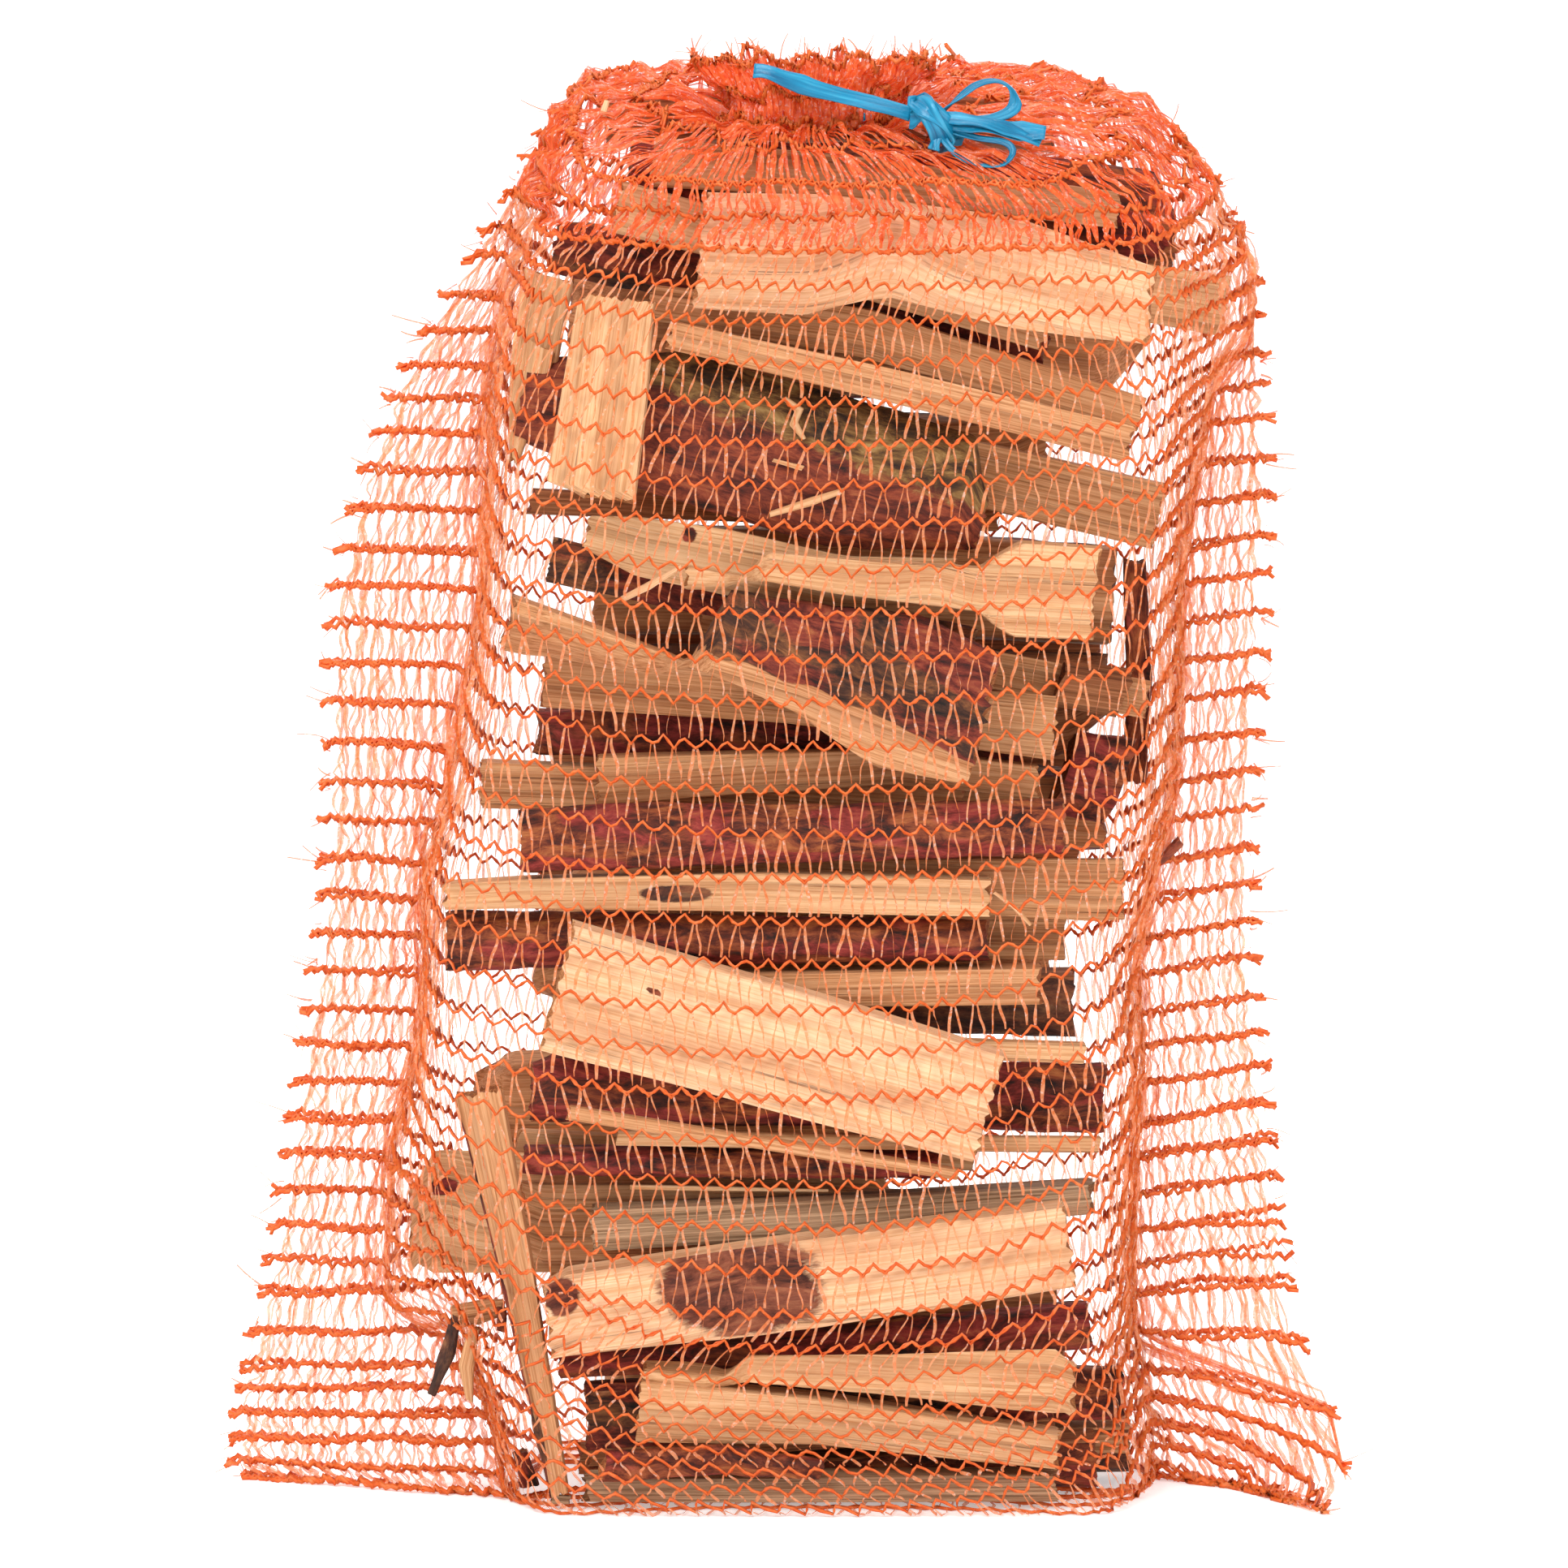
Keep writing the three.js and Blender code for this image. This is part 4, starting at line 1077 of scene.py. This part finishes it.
def folded_tape(name, way, width, facing, material, thickness=0.5, seed=0, turns=0.0, count=60):
    """A flat tape along a line, in mm: a closed strip with lengthwise folds."""
    line = smooth_line(way, count)
    tangent = unit(np.gradient(line, axis=0))
    side = unit(np.cross(tangent, np.array(facing, float)))
    up = np.cross(side, tangent)
    t = np.linspace(0, 1, count)
    roll = turns * math.pi * t + 0.25 * np.sin(t * 9 + seed)
    side, up = (side * np.cos(roll)[:, None] + up * np.sin(roll)[:, None],
                up * np.cos(roll)[:, None] - side * np.sin(roll)[:, None])
    columns = 9
    u = np.linspace(-0.5, 0.5, columns)
    crease = (roughness_field(t[:, None] * 0.05 + 0 * u, u[None] * 0.01 + 0 * t[:, None],
                              seed + 500, 0.05, 0.0035) * 0.75)
    pinch = 1 - 0.22 * np.abs(np.sin(t * 7 + seed))
    sheet = (line[:, None] + side[:, None] * (u[None] * width * pinch[:, None])[..., None]
             + up[:, None] * crease[..., None])
    top = sheet + up[:, None] * thickness / 2
    base = sheet - up[:, None] * thickness / 2
    loop = np.concatenate([top, base[:, ::-1]], 1)
    size = loop.shape[1]
    faces = grid_faces(count, size)
    for start, flip in ((0, True), ((count - 1) * size, False)):
        for c in range(columns - 1):
            quad = [start + c, start + c + 1, start + size - 2 - c, start + size - 1 - c]
            faces.append(quad[::-1] if flip else quad)
    piece = mesh_object(name, loop.reshape(-1, 3) * MM, faces, material, "drawstring_tape")
    across = np.concatenate([u, u[::-1]])
    name_points(piece, "along", np.stack(np.broadcast_arrays(
        t[:, None] * 2.0 + seed, across[None] * 4.0, np.full((count, 1), seed * 1.0)), -1))
    return piece, line


class FIREWOOD_OT_drawstring(bpy.types.Operator):
    """Lays the blue drawstring: the band in the hem, the tape over the frill, and the bow"""
    bl_idname = "firewood.drawstring"
    bl_label = "Drawstring"

    def execute(self, context):
        settings = context.scene.firewood_tape
        tape = folded_blue_tape(settings.colour)
        turn = np.linspace(0.3, 2 * math.pi + 0.26, 90)
        outwards = np.stack([np.sin(turn), -np.cos(turn), 0.1 + 0 * turn], 1)
        hem = np.array([NECK_X, NECK_Y, 558.5]) + outwards * (24.5, 18.5, 0)
        hem[:, 2] -= 3.6 * np.cos(turn)
        band, _ = folded_tape("tape_in_hem", hem, 4.5, outwards, tape, seed=11, count=90)
        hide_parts("drawstring_ring")
        width = settings.width / MM
        run, line = folded_tape("tape_run", RUN, width, (0, -1, 0.25), tape, seed=1, turns=0.08)
        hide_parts("drawstring_run")
        k = KNOT
        at = lambda *offsets: [k + np.array(o, float) for o in offsets]
        parts = [
            ("bow_upper_loop", at((1, 0, 2), (8, -2, 8), (16, -2, 14), (24, -2, 15.5), (30, -3, 12),
                                  (31, -5, 5), (24, -6, 1), (12, -6, 0), (2, -5, -1)),
             6.0, (0, -0.2, 1), 2, 0.15),
            ("bow_lower_loop", at((1, -4, -2), (4, -9, -9), (10, -12, -15), (18, -14, -18),
                                  (26, -14.5, -18), (30, -14, -13), (27, -12, -9), (16, -9, -7),
                                  (3, -5, -3)), 3.6, (0, -0.6, 0.8), 3, 0.2),
            ("bow_tail", at((2, -5, 0), (12, -8, -2), (22, -10, -3), (32, -11, -4.5), (43, -12, -5.5)),
             9.0, (0, -0.85, 0.5), 4, 0.05),
            ("bow_second_tail", at((2, -7, 1), (12, -10, 0), (22, -12.5, -2), (31, -13, -5),
                                   (41, -13.5, -9.5)), 6.0, (0, -0.9, 0.4), 5, 0.1),
            ("bow_stub", at((0, -5, -2), (0, -8, -7), (-1, -10, -12)), 5.0, (0, -1, 0.1), 6, 0.0),
            ("bow_wrap", at((-4, 4, 6), (-7, -3, 8), (-4, -9.5, 4), (0, -11, -3), (3, -6, -9),
                            (4, 2, -8)), 10.0, (-0.4, -1, 0.2), 7, 0.05),
            ("bow_cross", at((6, 3, -7), (8, -4, -6), (4, -10, -1), (-3, -10, 4), (-8, -4, 7),
                             (-8, 3, 4)), 9.0, (0.3, -1, 0.3), 8, 0.05),
            ("bow_knot_core", at((-10, -1, 2), (-4, -4, 2), (4, -4, -2), (10, -2, -2)), 12.0,
             (0, -1, 0.1), 9, 1.2),
        ]
        for name, way, wide, facing, seed, turns in parts:
            piece, _ = folded_tape(name, way, wide, facing, tape, seed=seed, turns=turns,
                                   thickness=0.6, count=44)
        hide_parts("drawstring_bow")
        return {"FINISHED"}


# ------------------------------------------------------------------ stage
PAPER, PAPER_FRONT = 9.0, -4.0  # side of the sheet and y of its near edge, in metres
BEND_AT, BEND_RADIUS = 2.2, 1.2  # y where the paper starts to rise, and how tightly


class FIREWOOD_OT_stage(bpy.types.Operator):
    """Sets the pale paper floor, the soft lights and the camera"""
    bl_idname = "firewood.stage"
    bl_label = "Stage"

    def execute(self, context):
        self.camera(context)
        self.floor()
        self.lights(context)
        return {"FINISHED"}

    def camera(self, context):
        data = bpy.data.cameras.new("camera")
        data.sensor_width = 36
        data.lens = 120.2
        data.clip_end = 50
        camera = bpy.data.objects.new("camera", data)
        context.scene.collection.objects.link(camera)
        camera.location = (0, -2.1418, 0.4764)
        camera.rotation_euler = (math.radians(85), 0, 0)
        context.scene.camera = camera

    def floor(self):
        bpy.ops.object.select_all(action="DESELECT")
        bpy.ops.mesh.primitive_grid_add(x_subdivisions=2, y_subdivisions=40, size=1)
        floor = bpy.context.object
        floor.name = "paper_sweep"
        for vertex in floor.data.vertices:
            way = (vertex.co.y + 0.5) * PAPER + PAPER_FRONT
            past = way - BEND_AT
            bend = min(max(past / BEND_RADIUS, 0), math.pi / 2)
            flat = min(way, BEND_AT) + BEND_RADIUS * math.sin(bend)
            rise = BEND_RADIUS * (1 - math.cos(bend)) + max(past - BEND_RADIUS * math.pi / 2, 0)
            vertex.co = (vertex.co.x * PAPER, flat, rise - 0.0004)
        floor.data.materials.append(matte_paper())
        floor.data.shade_smooth()
        floor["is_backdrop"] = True

    def lights(self, context):
        world = bpy.data.worlds.new("studio")
        world.use_nodes = True
        shine = world.node_tree.nodes["Background"]
        shine.inputs["Color"].default_value = (1, 1, 1, 1)
        shine.inputs["Strength"].default_value = 0.6
        context.scene.world = world
        aim = Vector((0, 0, 0.3))
        for name, place, size, power in (("key", (-1.0, -1.8, 2.0), 1.1, 48),
                                         ("fill", (1.5, -1.7, 0.9), 1.6, 17),
                                         ("top", (0, 0.2, 2.2), 1.6, 16),
                                         ("behind", (0.2, 1.7, 1.3), 1.4, 14)):
            data = bpy.data.lights.new(name, "AREA")
            data.size = size
            data.energy = power
            lamp = bpy.data.objects.new(name, data)
            lamp.location = place
            lamp.rotation_euler = (aim - Vector(place)).to_track_quat("-Z", "Y").to_euler()
            context.scene.collection.objects.link(lamp)
        context.scene.view_settings.view_transform = "Standard"


# ------------------------------------------------------------------ panel and registration
class FIREWOOD_PT_panel(bpy.types.Panel):
    """Lists the bag's settings and its steps"""
    bl_idname = "FIREWOOD_PT_panel"
    bl_label = "Firewood net bag"
    bl_space_type = "VIEW_3D"
    bl_region_type = "UI"
    bl_category = "Firewood"

    def draw(self, context):
        scene = context.scene
        for group in (scene.firewood_net, scene.firewood_wood, scene.firewood_tape):
            box = self.layout.box()
            for key in group.__annotations__:
                box.prop(group, key)
        for operator in STEPS:
            self.layout.operator(operator.bl_idname)


STEPS = (FIREWOOD_OT_stage, FIREWOOD_OT_drawstring, FIREWOOD_OT_sticks, FIREWOOD_OT_net)
CLASSES = (FIREWOOD_PG_net, FIREWOOD_PG_wood, FIREWOOD_PG_tape, *STEPS, FIREWOOD_PT_panel)


def register():
    for item in CLASSES:
        bpy.utils.register_class(item)
    bpy.types.Scene.firewood_net = bpy.props.PointerProperty(type=FIREWOOD_PG_net)
    bpy.types.Scene.firewood_wood = bpy.props.PointerProperty(type=FIREWOOD_PG_wood)
    bpy.types.Scene.firewood_tape = bpy.props.PointerProperty(type=FIREWOOD_PG_tape)


def unregister():
    del bpy.types.Scene.firewood_tape
    del bpy.types.Scene.firewood_wood
    del bpy.types.Scene.firewood_net
    for item in reversed(CLASSES):
        bpy.utils.unregister_class(item)


def main():
    register()
    bpy.ops.firewood.stage()
    bpy.ops.firewood.drawstring()
    bpy.ops.firewood.sticks()
    bpy.ops.firewood.net()
    sizes = {"cad": CAD_BOX, "visual": [list(corner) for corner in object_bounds()]}
    sizes = {key: [[float(c) for c in corner] for corner in box] for key, box in sizes.items()}


if __name__ == "__main__":
    main()
